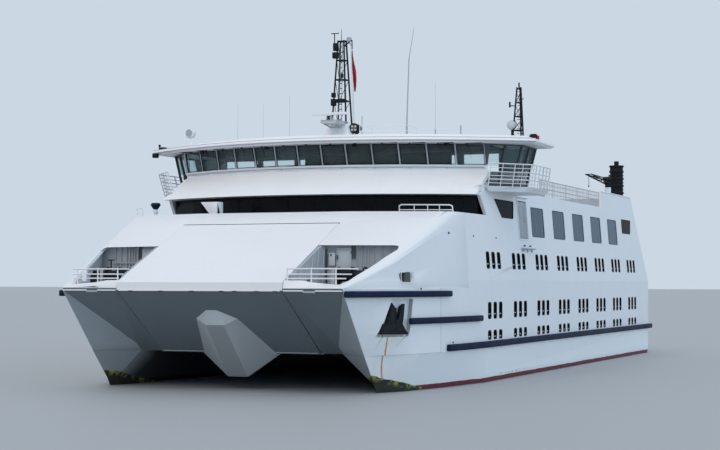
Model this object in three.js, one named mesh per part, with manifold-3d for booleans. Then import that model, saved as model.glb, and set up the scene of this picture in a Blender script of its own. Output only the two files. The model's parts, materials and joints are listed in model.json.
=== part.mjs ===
// Catamaran car ferry as a half-size model.
// Lengths below are metres of the full-size ship: x to port, y aft from the bow,
// z up from the design waterline. The finished model is in millimetres at 1:2,
// with its origin amidships on the centreline at the waterline.
import * as THREE from 'three';
import { ConvexGeometry } from 'three/addons/geometries/ConvexGeometry.js';
import { mergeVertices } from 'three/addons/utils/BufferGeometryUtils.js';
import Module from 'manifold-3d';

const wasm = await Module();
wasm.setup();

// Scale and origin
const MODEL_MM_PER_M = 500;
const MIDSHIPS = 32.4;

// Gap between solids that touch, and between a pin and its seat
const GAP = 0.001;
const SEAT = 0.0006;

// Driving dimensions in plan: half-breadths, then stations
const BOW_HALF = 8.53;
const BEAM_HALF = 11.18;
const VISOR_HALF = 5.03;
const TAPER_END = 16.4;
const SHELL_END = 13.2;
const STERN = 62.66;
const FRAME_PITCH = 5.476;

// Driving heights
const WET_DECK = 2.1;
const CAR_DECK = 2.95;
const BOW_DECK = 5.75;
const KNUCKLE = 6.2;
const LOUNGE_DECK = 8.45;
const VERANDAH_DECK = 9.1;
const BULWARK_TOP = 10.22;
const SUN_DECK = 12.03;
const SILL = 13.38;
const WINDOW_TOP = 14.72;

// Plate thickness, and how far the side above the knuckle leans in per metre
const SHELL = 0.2;
const LEAN = 0.0787;

const WHITE = { color: 0xe9eef4, roughness: 0.35, metalness: 0.0 };
const GREY = { color: 0xa9b1b8, roughness: 0.5, metalness: 0.1 };
const DARK = { color: 0x1c2126, roughness: 0.6, metalness: 0.3 };
const NAVY = { color: 0x18264a, roughness: 0.6, metalness: 0.0 };
const GLASS = { color: 0x10161d, roughness: 0.08, metalness: 0.0 };
const BOOT = { color: 0x6f2027, roughness: 0.6, metalness: 0.0 };
const STEEL = { color: 0x8f9599, roughness: 0.4, metalness: 0.8 };
const RED = { color: 0xb32025, roughness: 0.8, metalness: 0.0 };

const group = new THREE.Group();
group.name = 'car_ferry';

// Stations where the outer side bends in plan
const STATIONS = [0, 4.6, 6.9, 9.3, 11.1, 13.2, TAPER_END];

// Half-breadth of the outer side at a station and height
function sideX(y, z) {
  const s = Math.min(TAPER_END, Math.max(0, y));
  let k = 0;
  while (k < STATIONS.length - 2 && s > STATIONS[k + 1]) k += 1;
  const [a, b] = [STATIONS[k], STATIONS[k + 1]];
  const swell = (at) => BOW_HALF + (BEAM_HALF - BOW_HALF) * (1 - (1 - at / TAPER_END) ** 2);
  const plan = swell(a) + ((swell(b) - swell(a)) * (s - a)) / (b - a);
  return plan - Math.max(0, z - KNUCKLE) * LEAN;
}

// Value at z read from a table of rows, with straight lines between them
function readTable(rows, z, column) {
  let k = 0;
  while (k < rows.length - 2 && z > rows[k + 1].z) k += 1;
  const t = (z - rows[k].z) / (rows[k + 1].z - rows[k].z);
  return rows[k][column] + t * (rows[k + 1][column] - rows[k][column]);
}

// Solids and their joins and cuts
function toSolid(geometry) {
  const plain = geometry.clone();
  plain.deleteAttribute('normal');
  plain.deleteAttribute('uv');
  const welded = mergeVertices(plain, 1e-5);
  const mesh = new wasm.Mesh({
    numProp: 3,
    vertProperties: new Float32Array(welded.attributes.position.array),
    triVerts: new Uint32Array(welded.index.array),
  });
  return new wasm.Manifold(mesh);
}

function toGeometry(solid) {
  const mesh = solid.getMesh();
  const geometry = new THREE.BufferGeometry();
  geometry.setAttribute('position', new THREE.BufferAttribute(new Float32Array(mesh.vertProperties), 3));
  geometry.setIndex(new THREE.BufferAttribute(new Uint32Array(mesh.triVerts), 1));
  return geometry;
}

function join(...pieces) {
  return pieces.reduce((whole, piece) => whole.add(piece));
}

function cut(solid, ...tools) {
  return tools.reduce((whole, tool) => whole.subtract(tool), solid);
}

function box(x0, x1, y0, y1, z0, z1) {
  const geometry = new THREE.BoxGeometry(x1 - x0, y1 - y0, z1 - z0);
  geometry.translate((x0 + x1) / 2, (y0 + y1) / 2, (z0 + z1) / 2);
  return toSolid(geometry);
}

function hull(points) {
  return toSolid(new ConvexGeometry(points.map((p) => new THREE.Vector3(...p))));
}

// Skin over rings of equal count, with flat ends
function loft(rings) {
  const n = rings[0].length;
  const positions = rings.flat(2);
  const index = [];
  for (let k = 0; k < rings.length - 1; k += 1) {
    for (let i = 0; i < n; i += 1) {
      const j = (i + 1) % n;
      const a = k * n + i;
      const b = k * n + j;
      index.push(a, b, b + n, a, b + n, a + n);
    }
  }
  for (const [ring, start, flip] of [[rings[0], 0, true], [rings.at(-1), (rings.length - 1) * n, false]]) {
    for (const face of capFaces(ring)) {
      const [a, b, c] = face.map((i) => i + start);
      index.push(...(flip ? [a, c, b] : [a, b, c]));
    }
  }
  const geometry = new THREE.BufferGeometry();
  geometry.setAttribute('position', new THREE.Float32BufferAttribute(positions, 3));
  geometry.setIndex(index);
  if (volumeOf(geometry) < 0) {
    for (let i = 0; i < index.length; i += 3) [index[i], index[i + 1]] = [index[i + 1], index[i]];
    geometry.setIndex(index);
  }
  return toSolid(geometry);
}

// Triangles of a flat ring, turned the same way round as the ring
function capFaces(ring) {
  const normal = new THREE.Vector3();
  ring.forEach((p, i) => {
    const a = new THREE.Vector3(...p);
    const b = new THREE.Vector3(...ring[(i + 1) % ring.length]);
    normal.add(a.cross(b));
  });
  normal.normalize();
  const u = new THREE.Vector3(normal.y, normal.z, normal.x).cross(normal).normalize();
  const v = normal.clone().cross(u);
  const flat = ring.map((p) => {
    const q = new THREE.Vector3(...p);
    return new THREE.Vector2(q.dot(u), q.dot(v));
  });
  return THREE.ShapeUtils.triangulateShape(flat, []);
}

function volumeOf(geometry) {
  const p = geometry.attributes.position;
  const at = (i) => new THREE.Vector3().fromBufferAttribute(p, i);
  let volume = 0;
  for (let i = 0; i < geometry.index.count; i += 3) {
    const [a, b, c] = [0, 1, 2].map((k) => at(geometry.index.getX(i + k)));
    volume += a.dot(b.cross(c)) / 6;
  }
  return volume;
}

// Prisms: an outline in plan, in side view or in front view
function planPrism(outline, z0, z1) {
  return loft([z0, z1].map((z) => outline.map(([x, y]) => [x, y, z])));
}

function sidePrism(outline, x0, x1) {
  return loft([x0, x1].map((x) => outline.map(([y, z]) => [x, y, z])));
}

function frontPrism(outline, y0, y1) {
  return loft([y0, y1].map((y) => outline.map(([x, z]) => [x, y, z])));
}

// Round bar between two points
function bar(from, to, radius, sides = 4, endRadius = radius) {
  const a = new THREE.Vector3(...from);
  const b = new THREE.Vector3(...to);
  const geometry = new THREE.CylinderGeometry(endRadius, radius, a.distanceTo(b), sides);
  const turn = new THREE.Quaternion().setFromUnitVectors(
    new THREE.Vector3(0, 1, 0),
    b.clone().sub(a).normalize(),
  );
  geometry.applyQuaternion(turn);
  geometry.translate((a.x + b.x) / 2, (a.y + b.y) / 2, (a.z + b.z) / 2);
  return toSolid(geometry);
}

// Rounded upright outline in side view
function roundedOutline(y0, y1, z0, z1, radius, steps = 3) {
  const outline = [];
  const corners = [
    { y: y1 - radius, z: z1 - radius, turn: 0 },
    { y: y0 + radius, z: z1 - radius, turn: 1 },
    { y: y0 + radius, z: z0 + radius, turn: 2 },
    { y: y1 - radius, z: z0 + radius, turn: 3 },
  ];
  for (const { y, z, turn } of corners) {
    for (let k = 0; k <= steps; k += 1) {
      const angle = ((turn + k / steps) * Math.PI) / 2;
      outline.push([y + radius * Math.cos(angle), z + radius * Math.sin(angle)]);
    }
  }
  return outline;
}

function mirrored(solid) {
  return solid.mirror([1, 0, 0]);
}

function addPart(name, solid, look) {
  const geometry = toGeometry(solid);
  geometry.translate(0, -MIDSHIPS, 0);
  geometry.scale(MODEL_MM_PER_M, MODEL_MM_PER_M, MODEL_MM_PER_M);
  geometry.computeVertexNormals();
  const mesh = new THREE.Mesh(geometry, new THREE.MeshStandardMaterial(look));
  mesh.name = name;
  group.add(mesh);
}

function addPair(name, solid, look) {
  addPart(`${name}_port`, solid, look);
  addPart(`${name}_starboard`, mirrored(solid), look);
}

// Plate that follows the outer side: an outline in side view between two depths
function sidePlate(outline, outer, inner) {
  const skin = loft([...STATIONS, 64].map((y) => [
    [sideX(y, 0) - outer, y, 0], [sideX(y, KNUCKLE) - outer, y, KNUCKLE], [sideX(y, 14) - outer, y, 14],
    [sideX(y, 14) - inner, y, 14], [sideX(y, KNUCKLE) - inner, y, KNUCKLE], [sideX(y, 0) - inner, y, 0],
  ]));
  return skin.intersect(sidePrism(outline, 7, 13));
}

// Demi-hulls: waterlines from the keel to the wet deck
const hullLines = [
  {
    z: -2.9, stemX: 8.85, stemY: 8.5, outer: [8.98, 9.12, 9.3, 9.5],
    inner: [8.3, 8.35, 8.5, 8.7], innerY: 9.4,
  },
  {
    z: -1.2, stemX: 8.5, stemY: 6.0, outer: [9.0, 9.75, 10.6, 10.9],
    inner: [6.9, 7.0, 7.55, 8.2], innerY: 6.9,
  },
  {
    z: 0.5, stemX: 8.42, stemY: 4.7, outer: [9.42, 10.3, 11.02, 11.15],
    inner: [6.5, 6.6, 7.2, 8.1], innerY: 5.3,
  },
  {
    z: WET_DECK, stemX: 8.45, stemY: 3.17, outer: [sideX(6.9, 2), sideX(11.1, 2), BEAM_HALF, BEAM_HALF],
    inner: [6.38, 6.38, 6.38, 6.38], innerY: 5.14,
  },
];

// Waterline of one hull: outer side from bow to stern, then the inner side back
function hullRing({ z, stemX, stemY, outer, inner, innerY }) {
  const outerY = [Math.max(6.9, stemY + 1.2), 11.1, TAPER_END, STERN];
  const backY = [STERN, 22, stemY + 8, innerY];
  return [
    [stemX, stemY, z],
    ...outer.map((x, k) => [x, outerY[k], z]),
    ...inner.map((x, k) => [x, backY[k], z]),
  ];
}

const jet = { x: 8.9, z: -0.85, bore: 0.72, pivot: 63.05, pin: 0.5639 };
const alongJet = (y0, y1, radius, sides, endRadius) => (
  bar([jet.x, y0, jet.z], [jet.x, y1, jet.z], radius, sides, endRadius)
);
const intake = [[57.0, -3.2], [59.5, -3.2], [61.9, -1.5], [61.25, -1.2]];
addPair('hull', cut(
  join(
    loft(hullLines.map(hullRing)),
    alongJet(62.5, 63.2, 0.44, 12),
    bar([jet.x, jet.pivot, jet.z - jet.pin], [jet.x, jet.pivot, jet.z + jet.pin], 0.04, 8),
  ),
  alongJet(61.2, 62.45, jet.bore, 14),
  alongJet(62.3, 63.3, 0.34, 12),
  sidePrism(intake, jet.x - 0.45, jet.x + 0.45),
), BOOT);

// Bow blocks between the hull and the mooring deck, with the raked underside
const undersideY = (z) => Math.max(0, (5.63 - z) / 0.684);
const blockRows = [
  { z: WET_DECK + GAP, stemX: 8.45, stemY: 3.17, facetX: 6.38, tuck: 0.5 },
  { z: 2.52, stemX: 8.46, stemY: 2.79, facetX: 6.38, tuck: 0.32 },
  { z: 3.4, stemX: 8.48, stemY: 2.0, facetX: 6.99, tuck: 0.04 },
  { z: 4.0, stemX: 8.49, stemY: 1.45, facetX: 7.41, tuck: 0 },
  { z: 5.55, stemX: 8.53, stemY: 0.05, facetX: 8.49, tuck: 0 },
  { z: BOW_DECK, stemX: 8.53, stemY: 0.0, facetX: 8.45, tuck: 0 },
];

function blockRing({ z, stemX, stemY, facetX, tuck }) {
  const back = 9.3;
  const outer = [[4.6, tuck], [6.9, 0], [back, 0]].map(([y, inward]) => [sideX(y, z) - inward, y, z]);
  const under = undersideY(z);
  return [[stemX, stemY, z], ...outer, [5.08, back, z], [5.08, under, z], [facetX, under + 0.01, z]];
}

// Anchor pocket frame: along the side, out of the side, up
const pocket = { x: 9.17, y: 3.41, alongX: 0.33, alongY: 0.944, depth: 0.3 };
function onBow([s, z], out) {
  const { x, y, alongX, alongY } = pocket;
  return [x + alongX * s + alongY * out, y + alongY * s - alongX * out, z];
}
const pocketOutline = [[-0.1, 3.12], [2.62, 3.1], [2.95, 5.18], [0.97, 5.18]];
const pocketTool = loft([-pocket.depth, 0.6].map((out) => pocketOutline.map((p) => onBow(p, out))));
addPair('bow_block', cut(loft(blockRows.map(blockRing)), pocketTool), WHITE);

// Anchor: crown, two flukes and the end of the shank, each with its depths
const anchorPieces = [
  { outline: [[0, 3.3], [2.49, 3.22], [2.03, 3.8], [0.65, 3.82]], inner: -0.27, outer: 0.03 },
  {
    outline: [
      [0.65, 3.72], [1.62, 3.72], [1.53, 3.9], [1.39, 4.07], [1.39, 4.75], [1.13, 4.97], [0.92, 4.32],
      [0.81, 3.92],
    ],
    inner: -0.2, outer: 0.0,
  },
  {
    outline: [
      [1.5, 3.72], [2.03, 3.72], [2.155, 4.22], [2.23, 4.9], [2.18, 4.9], [1.93, 4.74], [1.77, 4.23],
      [1.56, 3.9],
    ],
    inner: -0.2, outer: 0.0,
  },
  { outline: [[1.3, 3.6], [1.75, 3.6], [1.7, 4.7], [1.4, 4.7]], inner: SEAT - pocket.depth, outer: -0.15 },
];
addPair('anchor', join(...anchorPieces.map(({ outline, inner, outer }) => (
  loft([inner, outer].map((out) => outline.map((p) => onBow(p, out))))
))), DARK);

// Cross deck that carries the cars, between and over the hulls
const deckEdge = (inset) => [9.31, 11.1, SHELL_END, TAPER_END, STERN].map((y) => [sideX(y, 3) - inset, y]);
const crossOutline = [[5.05, 6.1], [5.05, 9.31], ...deckEdge(SHELL + GAP)];
addPart('cross_deck', planPrism(
  [...crossOutline, ...crossOutline.toReversed().map(([x, y]) => [-x, y])],
  WET_DECK + GAP,
  CAR_DECK,
), GREY);

// Lower side shells with their rows of slots
const SLOT_CORNER = 0.13;
const slotRows = { upper: [6.95, 7.95], middle: [3.88, 4.86], lower: [2.62, 3.14] };
function slotTools([z0, z1], first) {
  const tools = [];
  for (let bay = 0; bay < 8; bay += 1) {
    for (let k = -1; k <= 1; k += 1) {
      const y = first + bay * FRAME_PITCH + k * 1.13;
      tools.push(sidePrism(roundedOutline(y - 0.31, y + 0.31, z0, z1, SLOT_CORNER, 1), 9.5, 12));
    }
  }
  return tools;
}
const lowerOutline = [
  [9.301, WET_DECK + GAP], [STERN, WET_DECK + GAP], [STERN, KNUCKLE - GAP],
  [SHELL_END + GAP, KNUCKLE - GAP], [SHELL_END + GAP, BOW_DECK], [9.301, BOW_DECK],
];
const lowerSide = cut(
  sidePlate(lowerOutline, 0, SHELL),
  ...slotTools(slotRows.middle, 18.0),
  ...slotTools(slotRows.lower, 18.0),
);
addPair('side_shell', lowerSide, WHITE);

// Rub rails on the outer side, by their heights and lengths
const RAIL_PROUD = 0.24;
const railRows = [
  { name: 'rub_rail_upper', y0: 0.02, y1: 10.35, z0: 5.27, z1: 5.61 },
  { name: 'rub_rail_middle', y0: 5.7, y1: 15.12, z0: 3.77, z1: 4.12 },
  { name: 'rub_rail_lower', y0: 10.0, y1: 63.3, z0: 2.14, z1: 2.53 },
];
for (const { name, y0, y1, z0, z1 } of railRows) {
  const outline = [[y0, z0], [y1, z0], [y1, z1], [y0, z1]];
  addPair(name, sidePlate(outline, -RAIL_PROUD, -GAP), NAVY);
}

// Sloped bow shell from the mooring deck to the bulwark top
const bowRows = [
  { z: 5.45, front: -0.75, ridge: -1.2, round: 0.02 },
  { z: BOW_DECK, front: 0.0, ridge: 0.0, round: 0.05 },
  { z: 6.13, front: 0.15, ridge: 1.0, round: 0.4 },
  { z: 7.1, front: 2.36, ridge: 3.6, round: 0.8 },
  { z: 8.3, front: 5.1, ridge: 6.5, round: 1.1 },
  { z: 9.4, front: 7.6, ridge: 9.2, round: 1.1 },
  { z: BULWARK_TOP, front: 9.5, ridge: 11.2, round: 1.1 },
  { z: 10.6, front: 10.35, ridge: 12.1, round: 1.1 },
];

function bowRing(z, back, inset) {
  const front = readTable(bowRows, z, 'front') + (inset ? inset + 0.27 : 0);
  const ridge = readTable(bowRows, z, 'ridge') + (inset ? inset + 0.15 : 0);
  const round = readTable(bowRows, z, 'round');
  const corner = new THREE.Vector2(sideX(ridge, z) - inset, ridge);
  const inner = new THREE.Vector2(5.0, front);
  const start = corner.clone().add(inner.clone().sub(corner).setLength(round));
  const endY = ridge + round;
  const end = new THREE.Vector2(sideX(endY, z) - inset, endY);
  const curve = new THREE.QuadraticBezierCurve(start, corner, end).getPoints(4);
  const half = [[5.0, front], ...curve.map((p) => [p.x, p.y])];
  for (const t of [0.5, 1]) {
    const y = endY + t * (back - endY);
    half.push([sideX(y, z) - inset, y]);
  }
  const whole = [...half.toReversed().map(([x, y]) => [-x, y]), ...half];
  return whole.map(([x, y]) => [x, y, z]);
}

const outerLevels = [BOW_DECK + GAP, 6.13, 7.1, 8.3, 9.4, BULWARK_TOP];
const innerLevels = [5.5, 6.13, 7.1, 8.3, 9.4, 10.5];
const bowOuter = loft(outerLevels.map((z) => bowRing(z, SHELL_END, 0)));
const bowInner = loft(innerLevels.map((z) => bowRing(z, SHELL_END + 0.3, SHELL)));
const mooringOutline = [
  [5.0, 6.17], [5.9, 6.17], [6.6, 6.05], [7.9, 5.94], [8.15, 5.96], [8.43, 6.14], [8.6, 6.46], [8.87, 6.84],
  [9.19, 7.46], [9.47, 7.9], [9.4, 8.08], [9.2, 8.13], [5.0, 8.14],
];
const mooringTool = frontPrism(mooringOutline, -1.5, 7.2);
const fairleadTool = sidePrism(roundedOutline(5.05, 6.3, 6.1, 6.62, 0.2, 2), 9.0, 11);
addPart('bow_shell', cut(
  bowOuter,
  bowInner,
  box(-VISOR_HALF - 0.03, VISOR_HALF + 0.03, -2, 9.2, 5, 9.5),
  mooringTool,
  mirrored(mooringTool),
  fairleadTool,
  mirrored(fairleadTool),
), WHITE);

// Bow visor: upper sloped face, lip, raked underside with its centre wedge
const visorFace = [
  [7.72, 9.45], [0.15, 6.13], [0.0, 6.06], [0.0, 5.63], [5.25, 2.04],
  [5.75, 2.04], [0.75, 5.5], [0.75, 6.1], [7.72, 9.16],
];
const visorCheek = [[7.5, 9.3], [0.3, 6.1], [0.3, 5.5], [5.3, 2.1], [5.7, 2.1], [7.6, 9.1]];
const wedgePoints = [];
for (const s of [-1, 1]) {
  wedgePoints.push(
    [0.29 * s, 1.55, 4.64], [1.3 * s, 2.31, 4.07], [2.47 * s, 5.42, 2.04],
    [0.61 * s, 4.95, 0.71], [0.56 * s, 2.07, 3.7], [0.6 * s, 5.45, 0.76],
    [2.3 * s, 5.6, 2.1], [0.29 * s, 1.9, 4.64],
  );
}
addPart('bow_visor', join(
  sidePrism(visorFace, -VISOR_HALF, VISOR_HALF),
  sidePrism(visorCheek, VISOR_HALF - 0.2, VISOR_HALF),
  sidePrism(visorCheek, -VISOR_HALF, 0.2 - VISOR_HALF),
  hull(wedgePoints),
  bar([SEAT - VISOR_HALF - 0.03, 7.66, 9.36], [VISOR_HALF + 0.03 - SEAT, 7.66, 9.36], 0.06, 8),
), WHITE);

// Mooring bays: inner side wall, back walls and winch seat of each side
const BAY_TOP = 8.94;
const trunkOutline = [
  [0.85, BOW_DECK + GAP], [9.35, BOW_DECK + GAP], [9.35, BAY_TOP], [7.6, BAY_TOP], [5.75, 8.1],
  [4.75, 8.1], [2.42, 7.1], [0.85, 6.4],
];
const bayBackX = sideX(9.3, BAY_TOP) - SHELL - 0.12;
const winch = { y: 4.2, z: 6.45, x0: 6.5, x1: 8.15, drum: 0.28, flange: 0.48 };
const bulkhead = [[5.1, 5.35], [9.95, 6.5], [9.95, 6.65], [5.1, 5.5]];
const bayInside = loft(innerLevels.map((z) => bowRing(z, SHELL_END + 0.3, SHELL + 0.01)));
addPair('mooring_bay', join(
  sidePrism(trunkOutline, 5.08, 5.24),
  planPrism(bulkhead, BOW_DECK + GAP, BAY_TOP).intersect(bayInside),
  box(5.08, bayBackX, 9.2, 9.35, BOW_DECK + GAP, BAY_TOP),
  ...[winch.x0 - 0.25, winch.x1 + 0.05].map((x) => (
    box(x, x + 0.2, winch.y - 0.42, winch.y + 0.42, BOW_DECK + GAP, winch.z + 0.35)
  )),
  box(winch.x0 - 0.2, winch.x1 + 0.2, winch.y - 0.52, winch.y + 0.52, BOW_DECK + GAP, BOW_DECK + 0.12),
  box(5.2, winch.x0, winch.y - 0.3, winch.y + 0.3, BOW_DECK + GAP, BOW_DECK + 0.1),
), GREY);
addPair('winch_drum', join(
  bar([winch.x0, winch.y, winch.z], [winch.x1, winch.y, winch.z], winch.drum, 12),
  bar([winch.x0 - 0.05 + SEAT, winch.y, winch.z], [winch.x1 + 0.05 - SEAT, winch.y, winch.z], 0.09, 8),
  ...[0, 0.8, 1.55].map((x) => (
    bar([winch.x0 + x, winch.y, winch.z], [winch.x0 + x + 0.1, winch.y, winch.z], winch.flange, 12)
  )),
), DARK);

// Rails across the mooring openings, turned back at both ends towards the sloped shell
const bowRailY = (x) => 0.36 + (x - 5.18) * 0.08;
const bowRailPosts = [{ x: 5.18, foot: 6.1706 }, { x: 6.52, foot: 6.0714 }, { x: 7.89, foot: 5.945 }];
const bowRailBars = [
  { z: 6.27, inner: 0.12, outer: 0.45 },
  { z: 6.5, inner: 0.6, outer: 1.0 },
  { z: 6.79, inner: 1.25, outer: 1.65 },
];
addPair('bow_rail', join(
  ...bowRailPosts.map(({ x, foot }) => bar([x, bowRailY(x), foot], [x, bowRailY(x), 6.79], 0.042)),
  ...bowRailBars.flatMap(({ z, inner, outer }) => [
    bar([5.16, bowRailY(5.16), z], [8.2, bowRailY(8.2), z], 0.036),
    bar([5.18, bowRailY(5.18), z], [5.18, bowRailY(5.18) + inner, z], 0.036),
    bar([8.18, bowRailY(8.18), z], [8.18 + outer * 0.18, bowRailY(8.18) + outer, z], 0.036),
  ]),
), WHITE);

// Passenger deck with the verandah floor ahead of it
const verandahRing = bowRing(VERANDAH_DECK, SHELL_END - 0.12, SHELL + 0.07).map(([x, y]) => [x, y]);
const loungeEdge = [
  [sideX(13.3, 8.5) - SHELL - 0.03, SHELL_END + 0.05],
  [sideX(17, LOUNGE_DECK) - SHELL - SEAT, 17],
  [sideX(60, LOUNGE_DECK) - SHELL - SEAT, 60.9],
];
const loungeOutline = [...loungeEdge, ...loungeEdge.toReversed().map(([x, y]) => [-x, y])];
addPart('passenger_deck', join(
  cut(planPrism(verandahRing, 8.95, VERANDAH_DECK), box(-5.3, 5.3, 0, 8.3, 8, 10)),
  box(-10.4, 10.4, 12.9, 13.08, 8.3, 9.05),
  planPrism(loungeOutline, 8.3, LOUNGE_DECK),
  box(-10.4, 10.4, 13.0, 13.6, 8.3, LOUNGE_DECK),
), GREY);

// Dark glazed wall behind the verandah
const glazingLine = (x) => 13.5 + 3.3 * (x / 10.6) ** 2;
const glazingXs = Array.from({ length: 13 }, (_, k) => -10.45 + (k * 20.9) / 12);
addPart('verandah_glazing', planPrism([
  ...glazingXs.map((x) => [x, glazingLine(x)]),
  ...glazingXs.toReversed().map((x) => [x, glazingLine(x) + 0.12]),
], LOUNGE_DECK + GAP, 11.4), GLASS);

// Upper side walls with windows, side door and slots
const upperOutline = [
  [SHELL_END + GAP, KNUCKLE], [STERN, KNUCKLE], [58.2, 13.28], [47.7, 13.28], [47.6, SUN_DECK],
  [17.6, SUN_DECK], [16.25, 11.42], [17.25, BULWARK_TOP], [SHELL_END + GAP, BULWARK_TOP],
];
const windowOutlines = [0, 1, 2, 3, 4].map((k) => (
  roundedOutline(27.1 + k * FRAME_PITCH, 30.15 + k * FRAME_PITCH, 9.15, 11.15, 0.15, 1)
));
windowOutlines.push(
  [[54.0, 10.15], [57.0, 10.15], [57.4, 11.33], [54.0, 11.33]],
  [[19.0, 11.33], [20.4, 10.18], [22.9, 10.18], [23.2, 11.33]],
);
const door = { y0: 24.0, y1: 26.0, z0: 8.95, z1: 11.45 };
const doorHole = [[door.y0, door.z0], [door.y1, door.z0], [door.y1, door.z1], [door.y0, door.z1]];
const leaf = 0.03;
const LEAF_OUTER = 0.04;
const LEAF_INNER = 0.13;
const doorHinges = [9.4, 10.8].map((z) => {
  const tip = door.y0 + leaf - SEAT;
  const outline = [[door.y0 - 0.05, z], [tip, z], [tip, z + 0.22], [door.y0 - 0.05, z + 0.22]];
  return sidePlate(outline, LEAF_OUTER, LEAF_INNER);
});
const PANE_DEPTH = 0.08;
const rebateOutline = [[18.15, 8.75], [58.65, 8.75], [58.35, 11.65], [18.15, 11.65]];
const doorPier = [
  [door.y0 - 0.15, 8.87], [door.y1 + 0.15, 8.87], [door.y1 + 0.15, 11.53], [door.y0 - 0.15, 11.53],
];
const rebate = cut(sidePlate(rebateOutline, PANE_DEPTH, SHELL + 0.1), sidePrism(doorPier, 9.5, 12));
addPair('upper_side', join(cut(
  sidePlate(upperOutline, 0, SHELL),
  rebate,
  ...windowOutlines.map((outline) => sidePrism(outline, 9.5, 12)),
  sidePrism(doorHole, 9.5, 12),
  ...slotTools(slotRows.upper, 17.95),
), ...doorHinges), WHITE);

const glassOutline = [[18.2, 8.8], [58.6, 8.8], [58.3, 11.6], [18.2, 11.6]];
const glassHole = [
  [door.y0 - 0.2, 8.85], [door.y1 + 0.2, 8.85], [door.y1 + 0.2, 11.55], [door.y0 - 0.2, 11.55],
];
addPair('side_glass', cut(
  sidePlate(glassOutline, PANE_DEPTH + 0.002, PANE_DEPTH + 0.06),
  sidePrism(glassHole, 9.5, 12),
), GLASS);

addPair('side_door', sidePlate([
  [door.y0 + leaf, door.z0 + leaf], [door.y1 - leaf, door.z0 + leaf],
  [door.y1 - leaf, door.z1 - leaf], [door.y0 + leaf, door.z1 - leaf],
], LEAF_OUTER, LEAF_INNER), GREY);

// Sloped brow over the verandah, and the curves of its lower and upper edges in plan
const BROW_FOOT = 11.43;
const browLower = (x) => 12.3 + 3.1 * (x / 10.77) ** 2;
const browUpper = (x) => 15.0 + 3.4 * (x / 10.66) ** 2;
const browStations = [-1, -0.97, -0.75, -0.5, -0.25, 0, 0.25, 0.5, 0.75, 0.97, 1];
const browEnd = box(10.44, 11.5, 16.1, 21, 11.3, SUN_DECK + 0.01);
addPart('brow', cut(loft(browStations.map((f) => {
  const low = f * 10.77;
  const high = f * 10.65;
  return [
    [low, browLower(low), BROW_FOOT], [high, browUpper(high), 13.0],
    [high, browUpper(high) + 0.26, 13.0], [high, browUpper(high) + 0.26, 12.8],
    [low, browLower(low) + 0.7, 11.6], [low, browLower(low) + 4.3, 11.6],
    [low, browLower(low) + 4.3, BROW_FOOT],
  ];
})), browEnd, mirrored(browEnd)), WHITE);

// Sun deck
const sunX = sideX(30, SUN_DECK) - SHELL - SEAT;
const sunEdge = [[10.45, 18.75], [sunX, 19.2], [sunX, 58.685]];
const sunFront = [-8, -5, -2, 0, 2, 5, 8].map((x) => [x, browLower(x) + 3.9]);
addPart('sun_deck', planPrism([
  ...sunFront,
  ...sunEdge,
  ...sunEdge.toReversed().map(([x, y]) => [-x, y]),
], 11.87, SUN_DECK), GREY);

// Wheelhouse: hollow, with a bowed front, leaning panes and wings past the side
const houseRows = [
  { z: SUN_DECK + GAP, front: 0.3, wingX: 11.75 },
  { z: 13.0, front: 0.3, wingX: 12.0 },
  { z: 13.001, front: 0.02, wingX: 12.0 },
  { z: SILL, front: 0.02, wingX: 12.1 },
  { z: WINDOW_TOP, front: -0.45, wingX: 12.45 },
];
const frontXs = [-10.5, -8, -5.4, -2.7, 0, 2.7, 5.4, 8, 10.5];

function houseRing({ z, front, wingX }, inset) {
  const line = frontXs.map((x) => [x * (1 - inset / 12), browUpper(x) + front + inset]);
  const wing = [[wingX - inset, 20.0 + inset * 0.4], [wingX - inset, 23.0 - inset]];
  return [...wing.toReversed().map(([x, y]) => [-x, y]), ...line, ...wing].map(([x, y]) => [x, y, z]);
}

const houseOuter = loft(houseRows.map((row) => houseRing(row, 0)));
const innerRows = [
  { z: 11.9, front: 0.3, wingX: 11.72 },
  { z: SILL - 0.1, front: 0.3, wingX: 12.07 },
  { z: SILL - 0.05, front: 0.02, wingX: 12.08 },
  { z: 14.8, front: -0.47, wingX: 12.47 },
];
const houseInner = loft(innerRows.map((row) => houseRing(row, 0.14)));
const POST_HALF = 0.04;
const WING_SILL = 12.35;
const PANES = 13;
const paneTools = [];
const paneWidth = 21.0 / PANES;
for (let k = 0; k < PANES; k += 1) {
  const x0 = -10.5 + k * paneWidth + POST_HALF;
  const x1 = x0 + paneWidth - 2 * POST_HALF;
  const y = Math.min(browUpper(x0), browUpper(x1));
  paneTools.push(box(x0, x1, y - 1.1, y + 1.0, SILL + 0.02, WINDOW_TOP - 0.06));
}
const chamferTools = [0, 1].map((k) => {
  const a = 0.05 + k * 0.48;
  const b = a + 0.42;
  const at = (t, z, push) => {
    const wingX = readTable(houseRows.filter((row) => row.z !== 13.001), z, 'wingX');
    return [10.5 + t * (wingX - 10.5) + push * 0.7, 18.3 + t * 1.7 - push * 0.6, z];
  };
  return hull([a, b].flatMap((t) => [WING_SILL, WINDOW_TOP - 0.08].flatMap((z) => (
    [-0.6, 0.8].map((push) => at(t, z, push))
  ))));
});
const wingTools = [20.1, 21.55].map((y) => box(11, 13.5, y, y + 1.3, WING_SILL, WINDOW_TOP - 0.08));
const backTools = [-9.9, -7.1, -4.3, 1.9, 4.7, 7.5].map((x) => box(x, x + 2.4, 22.5, 23.5, 13.3, 14.5));
addPart('wheelhouse', cut(
  houseOuter,
  houseInner,
  ...paneTools,
  ...chamferTools,
  ...chamferTools.map(mirrored),
  ...wingTools,
  ...wingTools.map(mirrored),
  ...backTools,
), WHITE);

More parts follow.
